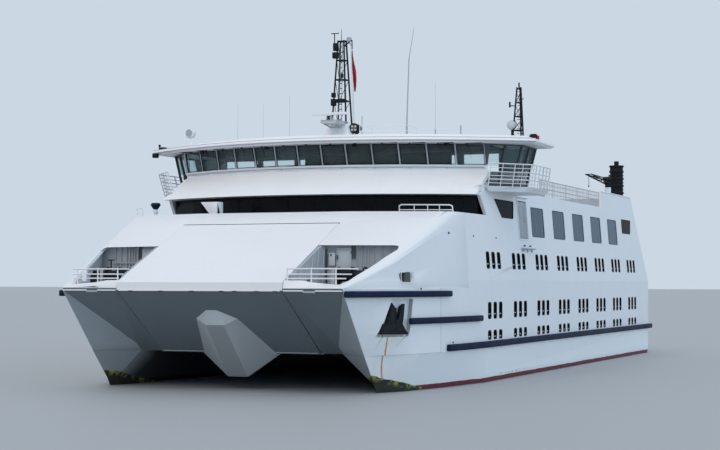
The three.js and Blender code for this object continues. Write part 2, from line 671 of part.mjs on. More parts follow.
const glassRows = [SILL + 0.01, WINDOW_TOP - 0.02].map((z) => (
  { z, front: readTable(innerRows, z, 'front'), wingX: readTable(innerRows, z, 'wingX') }
));
const glassBand = cut(
  loft(glassRows.map((row) => houseRing(row, 0.1436))),
  loft([{ ...glassRows[0], z: 13.2 }, { ...glassRows[1], z: 14.9 }].map((row) => houseRing(row, 0.2))),
);
addPart('wheelhouse_glass', cut(glassBand, box(-11.4, 11.4, 21.5, 24, 13, 15)), GLASS);

// Roof, cambered, with drawn-out wing tips
const roofFront = (x) => 13.9 + 5.0 * (x / 13.5) ** 2;
const roofXs = [-13.5, -12, -10, -7.5, -5, -2.5, 0, 2.5, 5, 7.5, 10, 12, 13.5];
function roofRing(z, spread, inset) {
  const line = roofXs.map((x) => [x * spread, roofFront(x) + inset, z]);
  return [...line, [13.45 * spread, 23.6 - inset, z], [-13.45 * spread, 23.6 - inset, z]];
}
const lamp = { x: -9.7, y: 17.3, z: 15.95 };
const mast = { x: 0.5, y: 18.9, foot: 16.3, top: 21.8, half: 0.49, tip: 0.2 };
const roof = join(
  bar([lamp.x, lamp.y, 14.95], [lamp.x, lamp.y, 15.55], 0.06, 8),
  loft([
    roofRing(WINDOW_TOP + GAP, 0.985, 0.18), roofRing(14.86, 1, 0), roofRing(15.0, 0.998, 0.05),
    roofRing(15.3, 0.93, 1.1),
  ]),
  hull([...roofRing(15.29, 0.92, 1.15), ...roofRing(15.45, 0.5, 2.6)]),
  loft([[-0.6, 1.5, 17.8, 20.0, 15.2], [-0.1, 1.1, 18.25, 19.55, mast.foot]].map(([x0, x1, y0, y1, z]) => (
    [[x0, y0, z], [x1, y0, z], [x1, y1, z], [x0, y1, z]]
  ))),
);
addPart('wheelhouse_roof', roof, WHITE);
const seatOnRoof = (solid) => cut(solid, roof, roof.translate([0, 0, GAP]));

// Bridge wing platforms with their rails
const platform = [[10.72, 16.95], [12.95, 19.5], [13.1, 20.2], [13.1, 23.5], [10.72, 23.5]];
const railLine = [[10.95, 17.25], [12.1, 18.6], [12.88, 19.5], [13.0, 20.3], [13.0, 21.9], [13.0, 23.4]];
const railLean = (p, z) => [p[0] + (z - SUN_DECK) * 0.22, p[1] - (z - SUN_DECK) * 0.22, z];
const wingRail = [];
railLine.forEach((p, k) => {
  wingRail.push(bar([...p, 11.95], railLean(p, 13.4), 0.04));
  if (k === 0) return;
  for (const z of [12.45, 12.9, 13.4]) {
    wingRail.push(bar(railLean(railLine[k - 1], z), railLean(p, z), 0.035));
  }
});
const platformTool = box(9, sideX(30, 11.7) + GAP, 18.0, 24, 11.5, 13);
const platformSolid = cut(
  loft([[11.72, 0.25], [SUN_DECK, 0]].map(([z, tuck]) => platform.map(([x, y]) => [x - tuck, y, z]))),
  platformTool,
  box(9, 10.9, 15, 19, 11.5, 12.5),
);
addPair('wing_platform', join(platformSolid, ...wingRail), WHITE);

// Sun deck rails
const topRail = [];
const topX = (y) => sideX(y, SUN_DECK) - 0.1;
const topRailPosts = [30.1, 33.48, 36.86, 40.24, 43.62, 47.0];
for (const y of topRailPosts) topRail.push(bar([topX(y), y, SUN_DECK + GAP], [topX(y), y, 13.2], 0.04));
for (const z of [12.6, 13.17]) topRail.push(bar([topX(30), 30.05, z], [topX(30), 47.05, z], 0.035));
addPair('top_rail', join(...topRail), WHITE);

// Stern: transom with its door frame, loading ramp and sloping aft wall
const transomX = BEAM_HALF - SHELL - 0.005;
addPart('transom', cut(
  join(
    box(-transomX, transomX, 62.3, STERN, CAR_DECK + GAP, KNUCKLE - 0.01),
    box(-transomX, transomX, 60.55, 62.6, 6.0, KNUCKLE - 0.01),
  ),
  box(-4.45, 4.45, 62, 63, 2.9, 5.9),
), WHITE);
addPart('stern_ramp', join(
  box(-4.41, 4.41, 62.36, 62.62, CAR_DECK + 0.05, 5.85),
  box(-4.45 + SEAT, 4.45 - SEAT, 62.5, 62.62, CAR_DECK + 0.05, CAR_DECK + 0.12),
), GREY);

const aftLean = (z) => STERN - ((z - KNUCKLE) * (STERN - 58.2)) / (13.28 - KNUCKLE);
const aftX = (z) => BEAM_HALF - (z - KNUCKLE) * LEAN - SHELL - SEAT;
addPart('aft_wall', loft([KNUCKLE + 0.01, 13.28].map((z) => [
  [-aftX(z), aftLean(z) - 0.3, z], [aftX(z), aftLean(z) - 0.3, z],
  [aftX(z), aftLean(z) - 0.02, z], [-aftX(z), aftLean(z) - 0.02, z],
])), WHITE);

// Waterjets: impeller in the hull and a steering nozzle behind it
const blades = [0, 1, 2, 3].map((k) => {
  const angle = (k * 2 * Math.PI) / 4;
  const tip = [jet.x + 0.62 * Math.cos(angle), jet.z + 0.62 * Math.sin(angle)];
  return bar([jet.x, 61.9, jet.z], [tip[0], 61.9, tip[1]], 0.1, 4, 0.13);
});
addPair('jet_impeller', join(alongJet(61.2 + SEAT, 62.25, 0.16, 12), ...blades), STEEL);
addPair('jet_nozzle', cut(
  alongJet(63.0, 64.1, 0.68, 12, 0.5),
  alongJet(62.9, 64.2, 0.6, 12, 0.4),
), STEEL);

// Main mast: four black legs with rings of bars, a scanner tray and an outrigger
const mastAt = (sx, sy, z) => {
  const t = (z - mast.foot) / (mast.top - mast.foot);
  const r = mast.half + t * (mast.tip - mast.half);
  return [mast.x + sx * r, mast.y + sy * r, z];
};
const scanner = { x: 0.43, y: 17.0, z: 16.76, reach: 1.22 };
const legs = [[-1, -1], [1, -1], [1, 1], [-1, 1]];
const mastRings = [17.85, 19.23, 20.5, 21.75];
const mastBars = [];
for (const [sx, sy] of legs) mastBars.push(bar(mastAt(sx, sy, 15.2), mastAt(sx, sy, mast.top), 0.06));
for (const z of mastRings) {
  legs.forEach(([sx, sy], k) => {
    const [nx, ny] = legs[(k + 1) % 4];
    mastBars.push(bar(mastAt(sx, sy, z), mastAt(nx, ny, z), 0.04, 4));
  });
}
const outrigger = [
  [[0.5, 18.72, 21.75], [1.2, 18.9, 21.78]],
  [[0.7, 18.7, 21.35], [1.17, 18.88, 21.8]],
  [[1.2, 18.9, 21.2 + SEAT], [1.2, 18.9, 21.8]],
];
addPart('main_mast', seatOnRoof(join(
  ...mastBars,
  ...outrigger.map(([from, to]) => bar(from, to, 0.035)),
  box(-0.02, 1.02, 16.7, 18.6, 16.22, 16.36),
  bar([scanner.x, scanner.y, 16.25], [scanner.x, scanner.y, scanner.z - 0.06], 0.18, 10),
)), DARK);
const blade = { half: 0.1, high: 0.16 };
addPart('radar_scanner', join(
  box(
    scanner.x - scanner.reach, scanner.x + scanner.reach,
    scanner.y - blade.half, scanner.y + blade.half, scanner.z, scanner.z + blade.high,
  ),
  bar([scanner.x, scanner.y, scanner.z - 0.06 + SEAT], [scanner.x, scanner.y, scanner.z + 0.04], 0.12, 10),
), WHITE);

// Flag hanging limp from the outrigger
const flagOutline = [
  [1.17, 21.2], [1.23, 21.2], [1.28, 20.75], [1.37, 20.3], [1.5, 19.75], [1.53, 19.3], [1.51, 18.8],
  [1.45, 18.38], [1.37, 18.38], [1.29, 18.8], [1.22, 19.6], [1.17, 20.3], [1.14, 20.75],
];
addPart('flag', frontPrism(flagOutline, 18.81, 18.99), RED);

// Aft mast on the port wing of the roof, with its dome
const aftMast = { x: 11.36, y: 22.7, foot: 15.0, top: 18.7, half: 0.38, tip: 0.13 };
const aftRings = [15.9, 16.8, 17.7, 18.6];
const aftAt = ([sx, sy], z) => {
  const t = (z - aftMast.foot) / (aftMast.top - aftMast.foot);
  const r = aftMast.half + t * (aftMast.tip - aftMast.half);
  return [aftMast.x + sx * r, aftMast.y + sy * r, z];
};
const aftLegs = [[-1, -1], [1, -1], [0, 1]];
const domeAt = [10.9, 22.5, 16.25];
const aftBars = aftLegs.map((leg) => bar(aftAt(leg, aftMast.foot), aftAt(leg, aftMast.top), 0.055));
for (const z of aftRings) {
  aftLegs.forEach((leg, k) => aftBars.push(bar(aftAt(leg, z), aftAt(aftLegs[(k + 1) % 3], z), 0.04, 4)));
}
const dome = new THREE.SphereGeometry(0.3, 12, 8);
dome.translate(...domeAt);
addPart('aft_mast', seatOnRoof(join(
  ...aftBars,
  toSolid(dome),
  bar([domeAt[0], domeAt[1], 15.0], [domeAt[0], domeAt[1], 16.1], 0.05),
  bar([domeAt[0], domeAt[1], 15.9], [aftMast.x, 22.45, 15.9], 0.05),
)), DARK);

// Searchlight on the starboard wing of the roof
addPart('searchlight', join(
  bar([lamp.x, lamp.y, 15.55 + SEAT], [lamp.x, lamp.y, 15.8], 0.06, 8),
  bar([lamp.x, lamp.y - 0.3, lamp.z], [lamp.x, lamp.y + 0.25, lamp.z], 0.28, 12, 0.2),
), WHITE);

// Funnel and rescue-boat crane on the aft deck
const stack = { x: 9.75, y: 56.9, top: 15.95, radius: 0.55, ribRadius: 0.62, rib: 0.14 };
const stackRibs = [13.0, 13.6, 14.2, 14.8, 15.4, 15.85];
addPart('stack', join(
  bar([stack.x, stack.y, SUN_DECK + GAP], [stack.x, stack.y, stack.top], stack.radius, 10),
  ...stackRibs.map((z) => (
    bar([stack.x, stack.y, z], [stack.x, stack.y, z + stack.rib], stack.ribRadius, 10)
  )),
), DARK);
const crane = { x: 9.6, y: 54.4, post: 14.0, reach: 6.6, rise: 0.4 };
const { post } = crane;
addPart('crane_post', join(
  bar([crane.x, crane.y, SUN_DECK + GAP], [crane.x, crane.y, post], 0.26, 12),
  bar([crane.x, crane.y, SUN_DECK + GAP], [crane.x, crane.y, 12.2], 0.45, 12),
), WHITE);
// Point on the boom: s is its side, t the share along it, up one for the top bars
const boomAt = (s, t, up) => [
  crane.x + s * 0.24,
  crane.y - t * crane.reach,
  post + 0.3 + t * crane.rise + up * (1 - t) * 0.35,
];
const boomBars = [];
for (const s of [-1, 1]) {
  boomBars.push(bar(boomAt(s, 0, 0), boomAt(s, 1, 0), 0.05), bar(boomAt(s, 0, 1), boomAt(s, 1, 1), 0.045));
  for (const t of [0.02, 0.2, 0.4, 0.6]) boomBars.push(bar(boomAt(s, t, 0), boomAt(s, t, 1), 0.035));
}
for (const t of [0, 0.2, 0.4, 0.6, 0.8, 0.99]) boomBars.push(bar(boomAt(-1, t, 0), boomAt(1, t, 0), 0.035));
addPart('crane_boom', join(
  ...boomBars,
  bar([crane.x, crane.y, post + SEAT], [crane.x, crane.y, post + 0.72], 0.24, 12),
), DARK);

// Ventilator on the starboard bow bulwark
const vent = { x: -10.72, y: 14.4 };
addPart('bow_vent', join(
  bar([vent.x, vent.y, BULWARK_TOP + GAP], [vent.x, vent.y, 10.75], 0.12, 12),
  bar([vent.x, vent.y, 10.7], [vent.x, vent.y, 10.95], 0.26, 12, 0.34),
  bar([vent.x, vent.y, 10.94], [vent.x, vent.y, 11.2], 0.34, 12, 0.26),
), NAVY);

export default group;
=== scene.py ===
# Half-size catamaran car ferry: its finishes, small fittings, light and camera
import json
import math

import bpy
from mathutils import Matrix, Vector


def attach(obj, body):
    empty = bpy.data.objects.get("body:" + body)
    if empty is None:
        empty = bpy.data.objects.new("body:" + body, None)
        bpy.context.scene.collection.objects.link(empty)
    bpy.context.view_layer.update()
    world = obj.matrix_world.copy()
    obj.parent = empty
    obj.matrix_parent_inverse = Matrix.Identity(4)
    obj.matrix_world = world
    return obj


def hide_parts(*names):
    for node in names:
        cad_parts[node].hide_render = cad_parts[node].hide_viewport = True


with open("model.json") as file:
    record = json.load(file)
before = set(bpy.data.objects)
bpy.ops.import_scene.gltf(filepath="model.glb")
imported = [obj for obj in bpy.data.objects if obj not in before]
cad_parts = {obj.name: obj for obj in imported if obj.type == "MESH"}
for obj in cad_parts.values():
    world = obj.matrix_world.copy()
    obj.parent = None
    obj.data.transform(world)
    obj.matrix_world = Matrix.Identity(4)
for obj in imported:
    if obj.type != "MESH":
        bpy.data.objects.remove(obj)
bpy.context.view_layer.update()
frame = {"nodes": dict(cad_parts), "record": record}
nodes = frame["nodes"]
print("frame loaded:", len(nodes), "nodes")

# Places below are in metres of the full-size ship: x to port, y aft from the bow, z up from the water
ship = {
    "scale": 0.5, "midships": 32.4, "bowHalf": 8.53, "beamHalf": 11.18, "knuckle": 6.2, "lean": 0.0787,
    "sunDeck": 12.03, "framePitch": 5.476,
}
taperStations = (0, 4.6, 6.9, 9.3, 11.1, 13.2, 16.4)
sides = (("port", 1), ("starboard", -1))


def at(x, y, z):
    return Vector((x * ship["scale"], (y - ship["midships"]) * ship["scale"], z * ship["scale"]))


def planHalf(y):
    swell = 1 - min(1, max(0, y) / taperStations[-1])
    return ship["bowHalf"] + (ship["beamHalf"] - ship["bowHalf"]) * (1 - swell ** 2)


def sideHalf(y, z):
    for near, far in zip(taperStations, taperStations[1:]):
        if y <= far:
            share = (max(y, near) - near) / (far - near)
            wide = planHalf(near) + share * (planHalf(far) - planHalf(near))
            break
    else:
        wide = ship["beamHalf"]
    return wide - max(0, z - ship["knuckle"]) * ship["lean"]


def sidePlace(y, z, out=0.0, side=1):
    return side * (sideHalf(y, z) + out), y, z


def onSide(y, z, out=0.0, side=1):
    return at(*sidePlace(y, z, out, side))


# Material groups
def newGroup(name, inputs, outputs):
    tree = bpy.data.node_groups.new(name, "ShaderNodeTree")
    for label, kind, value in inputs:
        socket = tree.interface.new_socket(name=label, in_out="INPUT", socket_type="NodeSocket" + kind)
        socket.default_value = value
    for label, kind in outputs:
        tree.interface.new_socket(name=label, in_out="OUTPUT", socket_type="NodeSocket" + kind)
    return tree, tree.nodes.new("NodeGroupInput"), tree.nodes.new("NodeGroupOutput")


def link(tree, source, target):
    tree.links.new(source, target)


def setInputs(tree, node, rows):
    # Links what comes from another node and sets what is a number or a colour
    for label, value in rows:
        if isinstance(value, bpy.types.NodeSocket):
            link(tree, value, node.inputs[label])
        else:
            node.inputs[label].default_value = value


def mathNode(tree, operation, *values):
    node = tree.nodes.new("ShaderNodeMath")
    node.operation = operation
    setInputs(tree, node, enumerate(values))
    return node.outputs[0]


def noise(tree, vector, scale, detail=4.0, roughness=0.55):
    node = tree.nodes.new("ShaderNodeTexNoise")
    labels = ("Vector", "Scale", "Detail", "Roughness")
    setInputs(tree, node, zip(labels, (vector, scale, detail, roughness)))
    return node.outputs["Fac"]


def remap(tree, value, low, high, toLow=0.0, toHigh=1.0):
    node = tree.nodes.new("ShaderNodeMapRange")
    labels = ("Value", "From Min", "From Max", "To Min", "To Max")
    setInputs(tree, node, zip(labels, (value, low, high, toLow, toHigh)))
    return node.outputs["Result"]


def mixColour(tree, factor, first, second):
    node = tree.nodes.new("ShaderNodeMix")
    node.data_type = "RGBA"
    first, second = ((*part, 1.0) if isinstance(part, tuple) else part for part in (first, second))
    setInputs(tree, node, ((0, factor), (6, first), (7, second)))
    return node.outputs[2]


def stretched(tree, vector, scale):
    node = tree.nodes.new("ShaderNodeMapping")
    setInputs(tree, node, (("Vector", vector), ("Scale", scale)))
    return node.outputs["Vector"]


def axes(tree, vector):
    # The X, Y and Z of a vector as outputs
    node = tree.nodes.new("ShaderNodeSeparateXYZ")
    link(tree, vector, node.inputs[0])
    return node.outputs


def makeWeather():
    # Grime from rain: broad patches, and thin streaks that run down
    tree, inside, outside = newGroup(
        "weather",
        (("Vector", "Vector", (0, 0, 0)), ("Amount", "Float", 0.3)),
        (("Patches", "Float"), ("Streaks", "Float")),
    )
    vector = inside.outputs["Vector"]
    patches = remap(tree, noise(tree, vector, 0.35, 6, 0.6), 0.45, 0.8)
    streaks = remap(tree, noise(tree, stretched(tree, vector, (3.2, 3.2, 0.16)), 1.6, 5, 0.65), 0.52, 0.82)
    breaks = remap(tree, noise(tree, vector, 0.9, 3), 0.4, 0.7)
    streaks = mathNode(tree, "MULTIPLY", streaks, breaks)
    link(tree, mathNode(tree, "MULTIPLY", patches, inside.outputs["Amount"]), outside.inputs["Patches"])
    link(tree, mathNode(tree, "MULTIPLY", streaks, inside.outputs["Amount"]), outside.inputs["Streaks"])
    return tree


platingLook = {"length": 2.74, "width": 1.1, "seam": 0.012, "dents": 0.6, "seamDepth": 0.25}


def makePlating():
    # Height of welded plates: slow dents between frames and fine seams along them
    tree, inside, outside = newGroup(
        "plating",
        (("Vector", "Vector", (0, 0, 0)),),
        (("Height", "Float"),),
    )
    vector = inside.outputs["Vector"]
    split = axes(tree, vector)

    def seam(value, pitch):
        offset = mathNode(tree, "PINGPONG", value, pitch / 2)
        return remap(tree, offset, 0.0, platingLook["seam"])

    alongSeam, upSeam = seam(split["Y"], platingLook["length"]), seam(split["Z"], platingLook["width"])
    dents = noise(tree, stretched(tree, vector, (1, 1.6, 2.2)), 1.1, 2, 0.4)
    seams = mathNode(tree, "MULTIPLY", mathNode(tree, "MINIMUM", alongSeam, upSeam), platingLook["seamDepth"])
    height = mathNode(tree, "MULTIPLY_ADD", dents, platingLook["dents"], seams)
    link(tree, height, outside.inputs["Height"])
    return tree


weather = makeWeather()
plating = makePlating()


def useGroup(tree, group, **values):
    node = tree.nodes.new("ShaderNodeGroup")
    node.node_tree = group
    setInputs(tree, node, values.items())
    return node.outputs


def newMaterial(name, base, roughness, metallic=0.0):
    material = bpy.data.materials.new(name)
    material.use_nodes = True
    tree = material.node_tree
    shader = tree.nodes["Principled BSDF"]
    setInputs(tree, shader, (("Base Color", (*base, 1)), ("Roughness", roughness), ("Metallic", metallic)))
    coords = tree.nodes.new("ShaderNodeTexCoord").outputs["Object"]
    return material, tree, shader, coords


def addBump(tree, shader, height, strength, distance):
    bump = tree.nodes.new("ShaderNodeBump")
    setInputs(tree, bump, (("Strength", strength), ("Distance", distance), ("Height", height)))
    link(tree, bump.outputs["Normal"], shader.inputs["Normal"])


def makePaint(name, look):
    material, tree, shader, coords = newMaterial(name, look["base"], look["roughness"])
    shader.inputs["Specular IOR Level"].default_value = look.get("shine", 0.5)
    marks = useGroup(tree, weather, Vector=coords, Amount=look["grime"])
    colour = mixColour(tree, marks["Patches"], look["base"], look["patch"])
    colour = mixColour(tree, marks["Streaks"], colour, look["streak"])
    if "stains" in look:
        colour = addStains(tree, coords, colour, look["stains"])
    link(tree, colour, shader.inputs["Base Color"])
    rough = look["roughness"]
    sheen = remap(tree, noise(tree, coords, 2.2, 5), 0.3, 0.8, rough - 0.06, rough + 0.12)
    link(tree, sheen, shader.inputs["Roughness"])
    height = useGroup(tree, plating, Vector=coords)["Height"]
    addBump(tree, shader, height, look["plates"], 0.02)
    return material


# Stains that run down from the anchor pocket: y at the waterline, and how it shifts and bends with height
stainKeys = ("y", "lean", "bend", "top", "foot", "half", "amount", "colour")
anchorStains = [dict(zip(stainKeys, row)) for row in (
    (5.7, -0.906, 0.132, 3.3, 0.5, 0.07, 1.0, (0.5, 0.2, 0.03)),
    (2.69, 0.372, 0, 3.3, 2.6, 0.06, 0.8, (0.42, 0.4, 0.1)),
    (4.75, 0, 0, 3.28, 2.6, 0.9, 0.35, (0.62, 0.58, 0.42)),
    (1.59, 1.3, 0, 3.25, 2.7, 0.1, 0.7, (0.45, 0.22, 0.16)),
)]


def addStains(tree, coords, colour, stains):
    split = axes(tree, coords)
    along, up = split["Y"], split["Z"]
    ragged = remap(tree, noise(tree, stretched(tree, coords, (9, 9, 0.7)), 3, 4), 0.25, 0.5, 0.45, 1)
    for stain in stains:
        start = (stain["y"] - ship["midships"]) * ship["scale"]
        bend = stain["bend"] / ship["scale"]
        line = mathNode(tree, "MULTIPLY_ADD", up, bend, stain["lean"])
        line = mathNode(tree, "MULTIPLY_ADD", up, line, start)
        off = mathNode(tree, "ABSOLUTE", mathNode(tree, "SUBTRACT", along, line))
        half = stain["half"] * ship["scale"]
        mask = mathNode(tree, "MULTIPLY", remap(tree, off, half, half * 0.3), ragged)
        top, foot = stain["top"] * ship["scale"], stain["foot"] * ship["scale"]
        mask = mathNode(tree, "MULTIPLY", mask, remap(tree, up, top, top - 0.03))
        mask = mathNode(tree, "MULTIPLY", mask, remap(tree, up, foot - 0.1, foot + 0.25))
        colour = mixColour(tree, mathNode(tree, "MULTIPLY", mask, stain["amount"]), colour, stain["colour"])
    return colour


whiteLook = {
    "base": (0.785, 0.8, 0.83), "patch": (0.71, 0.73, 0.75), "streak": (0.56, 0.54, 0.5),
    "roughness": 0.42, "grime": 0.22, "plates": 0.16,
}
# Undersides under the bow: grey paint, made darker still as painted shade
underGreyAndShadeLook = {
    "base": (0.155, 0.19, 0.215), "patch": (0.13, 0.15, 0.165), "streak": (0.15, 0.16, 0.16),
    "roughness": 0.6, "grime": 0.5, "plates": 0.12,
}
# Wedge under the visor: white paint drawn grey as painted shade; a lighter copy for its upward facets is
# painted light, a darker copy for its front facets painted shade
wedgeShadedGreyLook = {**underGreyAndShadeLook, "base": (0.43, 0.46, 0.485), "patch": (0.38, 0.41, 0.43), "grime": 0.3}
wedgeLitTopLook = {**wedgeShadedGreyLook, "base": (0.63, 0.67, 0.685), "patch": (0.56, 0.59, 0.61)}
wedgeDarkShadeLook = {**wedgeShadedGreyLook, "base": (0.3, 0.33, 0.35), "patch": (0.26, 0.28, 0.3)}
# Inner front facets of the bow blocks: grey paint, darkened as painted shade
facetGreyAndShadeLook = {**underGreyAndShadeLook, "base": (0.35, 0.39, 0.42), "patch": (0.3, 0.33, 0.355)}
greyLook = {
    "base": (0.38, 0.41, 0.445), "patch": (0.3, 0.32, 0.34), "streak": (0.18, 0.165, 0.15),
    "roughness": 0.55, "grime": 0.5, "plates": 0.2,
}
paleLook = {**whiteLook, "base": (0.5, 0.525, 0.55), "patch": (0.42, 0.44, 0.46)}
darkLook = {
    "base": (0.004, 0.006, 0.01), "patch": (0.009, 0.011, 0.014), "streak": (0.018, 0.02, 0.022),
    "roughness": 0.6, "grime": 0.35, "plates": 0.1, "shine": 0.25,
}
fenderLook = {
    "base": (0.001, 0.009, 0.04), "patch": (0.004, 0.015, 0.045), "streak": (0.05, 0.065, 0.09),
    "roughness": 0.7, "grime": 0.4, "plates": 0.1, "shine": 0.25,
}
whitePaint = makePaint("whitePaint", whiteLook)
underPaint = makePaint("underPaint", underGreyAndShadeLook)
wedgePaint = makePaint("wedgePaint", wedgeShadedGreyLook)
wedgeTopPaint = makePaint("wedgeTopPaint", wedgeLitTopLook)
wedgeFootPaint = makePaint("wedgeFootPaint", wedgeDarkShadeLook)
facetPaint = makePaint("facetPaint", facetGreyAndShadeLook)
greyPaint = makePaint("greyPaint", greyLook)
palePaint = makePaint("palePaint", paleLook)
# Inner walls of the mooring bays: white paint darkened as painted shade in the recess
wallPaint = makePaint("wallPaint", {**paleLook, "base": (0.4, 0.42, 0.445), "patch": (0.34, 0.36, 0.38)})
framePaint = makePaint("framePaint", {**greyLook, "base": (0.06, 0.07, 0.08), "patch": (0.08, 0.09, 0.1)})
darkPaint = makePaint("darkPaint", darkLook)
navyFender = makePaint("navyFender", fenderLook)
dullPaint = makePaint("dullPaint", {**greyLook, "base": (0.16, 0.175, 0.19), "patch": (0.12, 0.13, 0.14)})
# Lighter copy of the white paint for the brow, wheelhouse roof and brow fairings: painted light
browPaint = makePaint("browPaint", {**whiteLook, "base": (0.86, 0.87, 0.89)})
bowPaint = makePaint("bowPaint", {**whiteLook, "stains": anchorStains})


def makeGlass(name, tint, see, ior=1.45, shine=(0.04, 0.16)):
    material, tree, shader, coords = newMaterial(name, tint, 0.06)
    salt = remap(tree, noise(tree, coords, 3, 6), 0.4, 0.8, *shine)
    setInputs(tree, shader, (("Transmission Weight", see), ("IOR", ior), ("Roughness", salt)))
    return material


sideGlass = makeGlass("sideGlass", (0.012, 0.016, 0.022), 0.1, 1.4)
bridgeGlass = makeGlass("bridgeGlass", (0.7, 0.82, 0.83), 0.95, 1.1)


def makeCurtainGlass():
    # Flush pane with upright blinds close behind it
    material, tree, shader, coords = newMaterial("curtainGlass", (0.04, 0.09, 0.15), 0.2)
    shader.inputs["Specular IOR Level"].default_value = 0.1
    fold = mathNode(tree, "PINGPONG", axes(tree, coords)["Y"], 0.09)
    uneven = remap(tree, noise(tree, stretched(tree, coords, (1, 3, 0.05)), 2, 3), 0.35, 0.65)
    stripe = mathNode(tree, "MULTIPLY", remap(tree, fold, 0.02, 0.045), remap(tree, uneven, 0, 1, 0.6, 1))
    colour = mixColour(tree, stripe, (0.004, 0.016, 0.03), (0.05, 0.12, 0.2))
    link(tree, colour, shader.inputs["Base Color"])
    return material


curtainGlass = makeCurtainGlass()
# Verandah glass tinted near black with little reflection: painted shade from the brow above it
verandahGlass = makeGlass("verandahGlass", (0.004, 0.006, 0.008), 0.1, 1.2, (0.2, 0.35))
endGlass = makeGlass("endGlass", (0.01, 0.014, 0.018), 0.0, 1.05, (0.15, 0.25))


def makeUnderwater(name, white, red, aftShadeColour, stains):
    # Red below the boot line, white paint above it that turns to a second colour further aft, a darker one
    # where it stands for painted shade deep in the tunnel, and weed in a line that sinks from the bow
    material, tree, shader, coords = newMaterial(name, white, 0.5)
    split = axes(tree, coords)
    along, up = split["Y"], split["Z"]
    height = mathNode(tree, "MULTIPLY_ADD", noise(tree, coords, 1.5, 4), 0.05, up)
    marks = useGroup(tree, weather, Vector=coords, Amount=0.4)
    low = mixColour(tree, marks["Patches"], red, tuple(part * 0.6 for part in red))
    plain = mixColour(tree, marks["Streaks"], white, (0.55, 0.55, 0.48))
    # Painted shade: the white turns to the aft colour further aft
    plain = mixColour(tree, remap(tree, along, -13.5, -12.6), plain, aftShadeColour)
    colour = mixColour(tree, remap(tree, height, 0.165, 0.17), low, addStains(tree, coords, plain, stains))
    specks = remap(tree, noise(tree, coords, 6, 6), 0.5, 0.6)
    aside = remap(tree, mathNode(tree, "ABSOLUTE", mathNode(tree, "ADD", along, 5.1)), 1.9, 1.1)
    thin = remap(tree, mathNode(tree, "ABSOLUTE", mathNode(tree, "SUBTRACT", up, 0.19)), 0.06, 0.02)
    tuft = mathNode(tree, "MULTIPLY", mathNode(tree, "MULTIPLY", aside, thin), specks)
    colour = mixColour(tree, mathNode(tree, "MULTIPLY", tuft, 0.7), colour, (0.4, 0.4, 0.2))
    line = mathNode(tree, "MULTIPLY_ADD", along, -0.19, -2.238)
    line = mathNode(tree, "MULTIPLY_ADD", noise(tree, coords, 3, 5), 0.12, line)
    depth = mathNode(tree, "SUBTRACT", line, up)
    yellow = mathNode(tree, "MULTIPLY", specks, remap(tree, depth, 0.17, 0.03))
    weed = mixColour(tree, yellow, (0.018, 0.022, 0.014), (0.36, 0.37, 0.06))
    colour = mixColour(tree, remap(tree, depth, 0.0, 0.012), colour, weed)
    link(tree, colour, shader.inputs["Base Color"])
    addBump(tree, shader, useGroup(tree, plating, Vector=coords)["Height"], 0.2, 0.02)
    return material


# Hull white, paler than the white paint: painted light that offsets the shade on plating that faces down
litHullWhite = (0.84, 0.86, 0.885)
underwaterPaint = makeUnderwater("underwaterPaint", litHullWhite, (0.15, 0.016, 0.024), litHullWhite, anchorStains)
# Inner faces of the hulls: white and red made dark as painted shade between the hulls, darkest aft in the
# tunnel
underwaterShade = makeUnderwater(
    "underwaterShade", (0.3, 0.33, 0.35), (0.015, 0.006, 0.006), (0.04, 0.046, 0.052), ()
)


def makeSteel():
    material, tree, shader, coords = newMaterial("bareSteel", (0.5, 0.5, 0.5), 0.35, 1.0)
    brushed = noise(tree, stretched(tree, coords, (2, 2, 60)), 4, 4)
    link(tree, remap(tree, brushed, 0.3, 0.7, 0.28, 0.5), shader.inputs["Roughness"])
    return material


bareSteel = makeSteel()


def makeCloth():
    red = (0.5, 0.02, 0.025)
    material, tree, shader, coords = newMaterial("redCloth", red, 0.85)
    faded = remap(tree, noise(tree, coords, 6, 3), 0.4, 0.7)
    link(tree, mixColour(tree, faded, red, (0.36, 0.015, 0.02)), shader.inputs["Base Color"])
    addBump(tree, shader, noise(tree, coords, 140, 2), 0.3, 0.002)
    return material


redCloth = makeCloth()

# Finishes of the solids that stay as they are
nodeFinish = {
    "white_paint": whitePaint, "grey_paint": greyPaint, "dark_paint": darkPaint, "navy_fender": navyFender,
    "navy_paint": navyFender, "dark_glass": sideGlass, "red_underwater_paint": underwaterPaint,
    "bare_steel": bareSteel, "red_cloth": redCloth,
}
for row in frame["record"]["subparts"]:
    node = nodes[row["node"]]
    node.data.materials.clear()
    node.data.materials.append(nodeFinish[row["material_slot"]])
nodes["wheelhouse_glass"].data.materials[0] = bridgeGlass
# The verandah glass is darkened as painted shade
nodes["verandah_glazing"].data.materials[0] = verandahGlass
# Brow and roof take the lighter white, painted light
nodes["brow"].data.materials[0] = browPaint
nodes["wheelhouse_roof"].data.materials[0] = browPaint
print("finishes set")


# Modelling helpers
def clearSelection():
    if bpy.context.object and bpy.context.object.mode != "OBJECT":
        bpy.ops.object.mode_set(mode="OBJECT")
    bpy.ops.object.select_all(action="DESELECT")


def makeActive(piece):
    clearSelection()
    piece.select_set(True)
    bpy.context.view_layer.objects.active = piece


def editAll(piece):
    # Opens a piece for editing with all of it selected
    makeActive(piece)
    bpy.ops.object.mode_set(mode="EDIT")
    bpy.ops.mesh.select_all(action="SELECT")


def settle(piece):
    # Puts the place, turn and size into the mesh
    makeActive(piece)
    bpy.ops.object.transform_apply(location=True, rotation=True, scale=True)
    return piece


def bevelEdges(piece, width, segments=2, angle=40):
    modifier = piece.modifiers.new("soften", "BEVEL")
    modifier.width = width * ship["scale"]
    modifier.segments = segments
    modifier.limit_method = "ANGLE"
    modifier.angle_limit = math.radians(angle)
    makeActive(piece)
    bpy.ops.object.modifier_apply(modifier=modifier.name)
    return piece


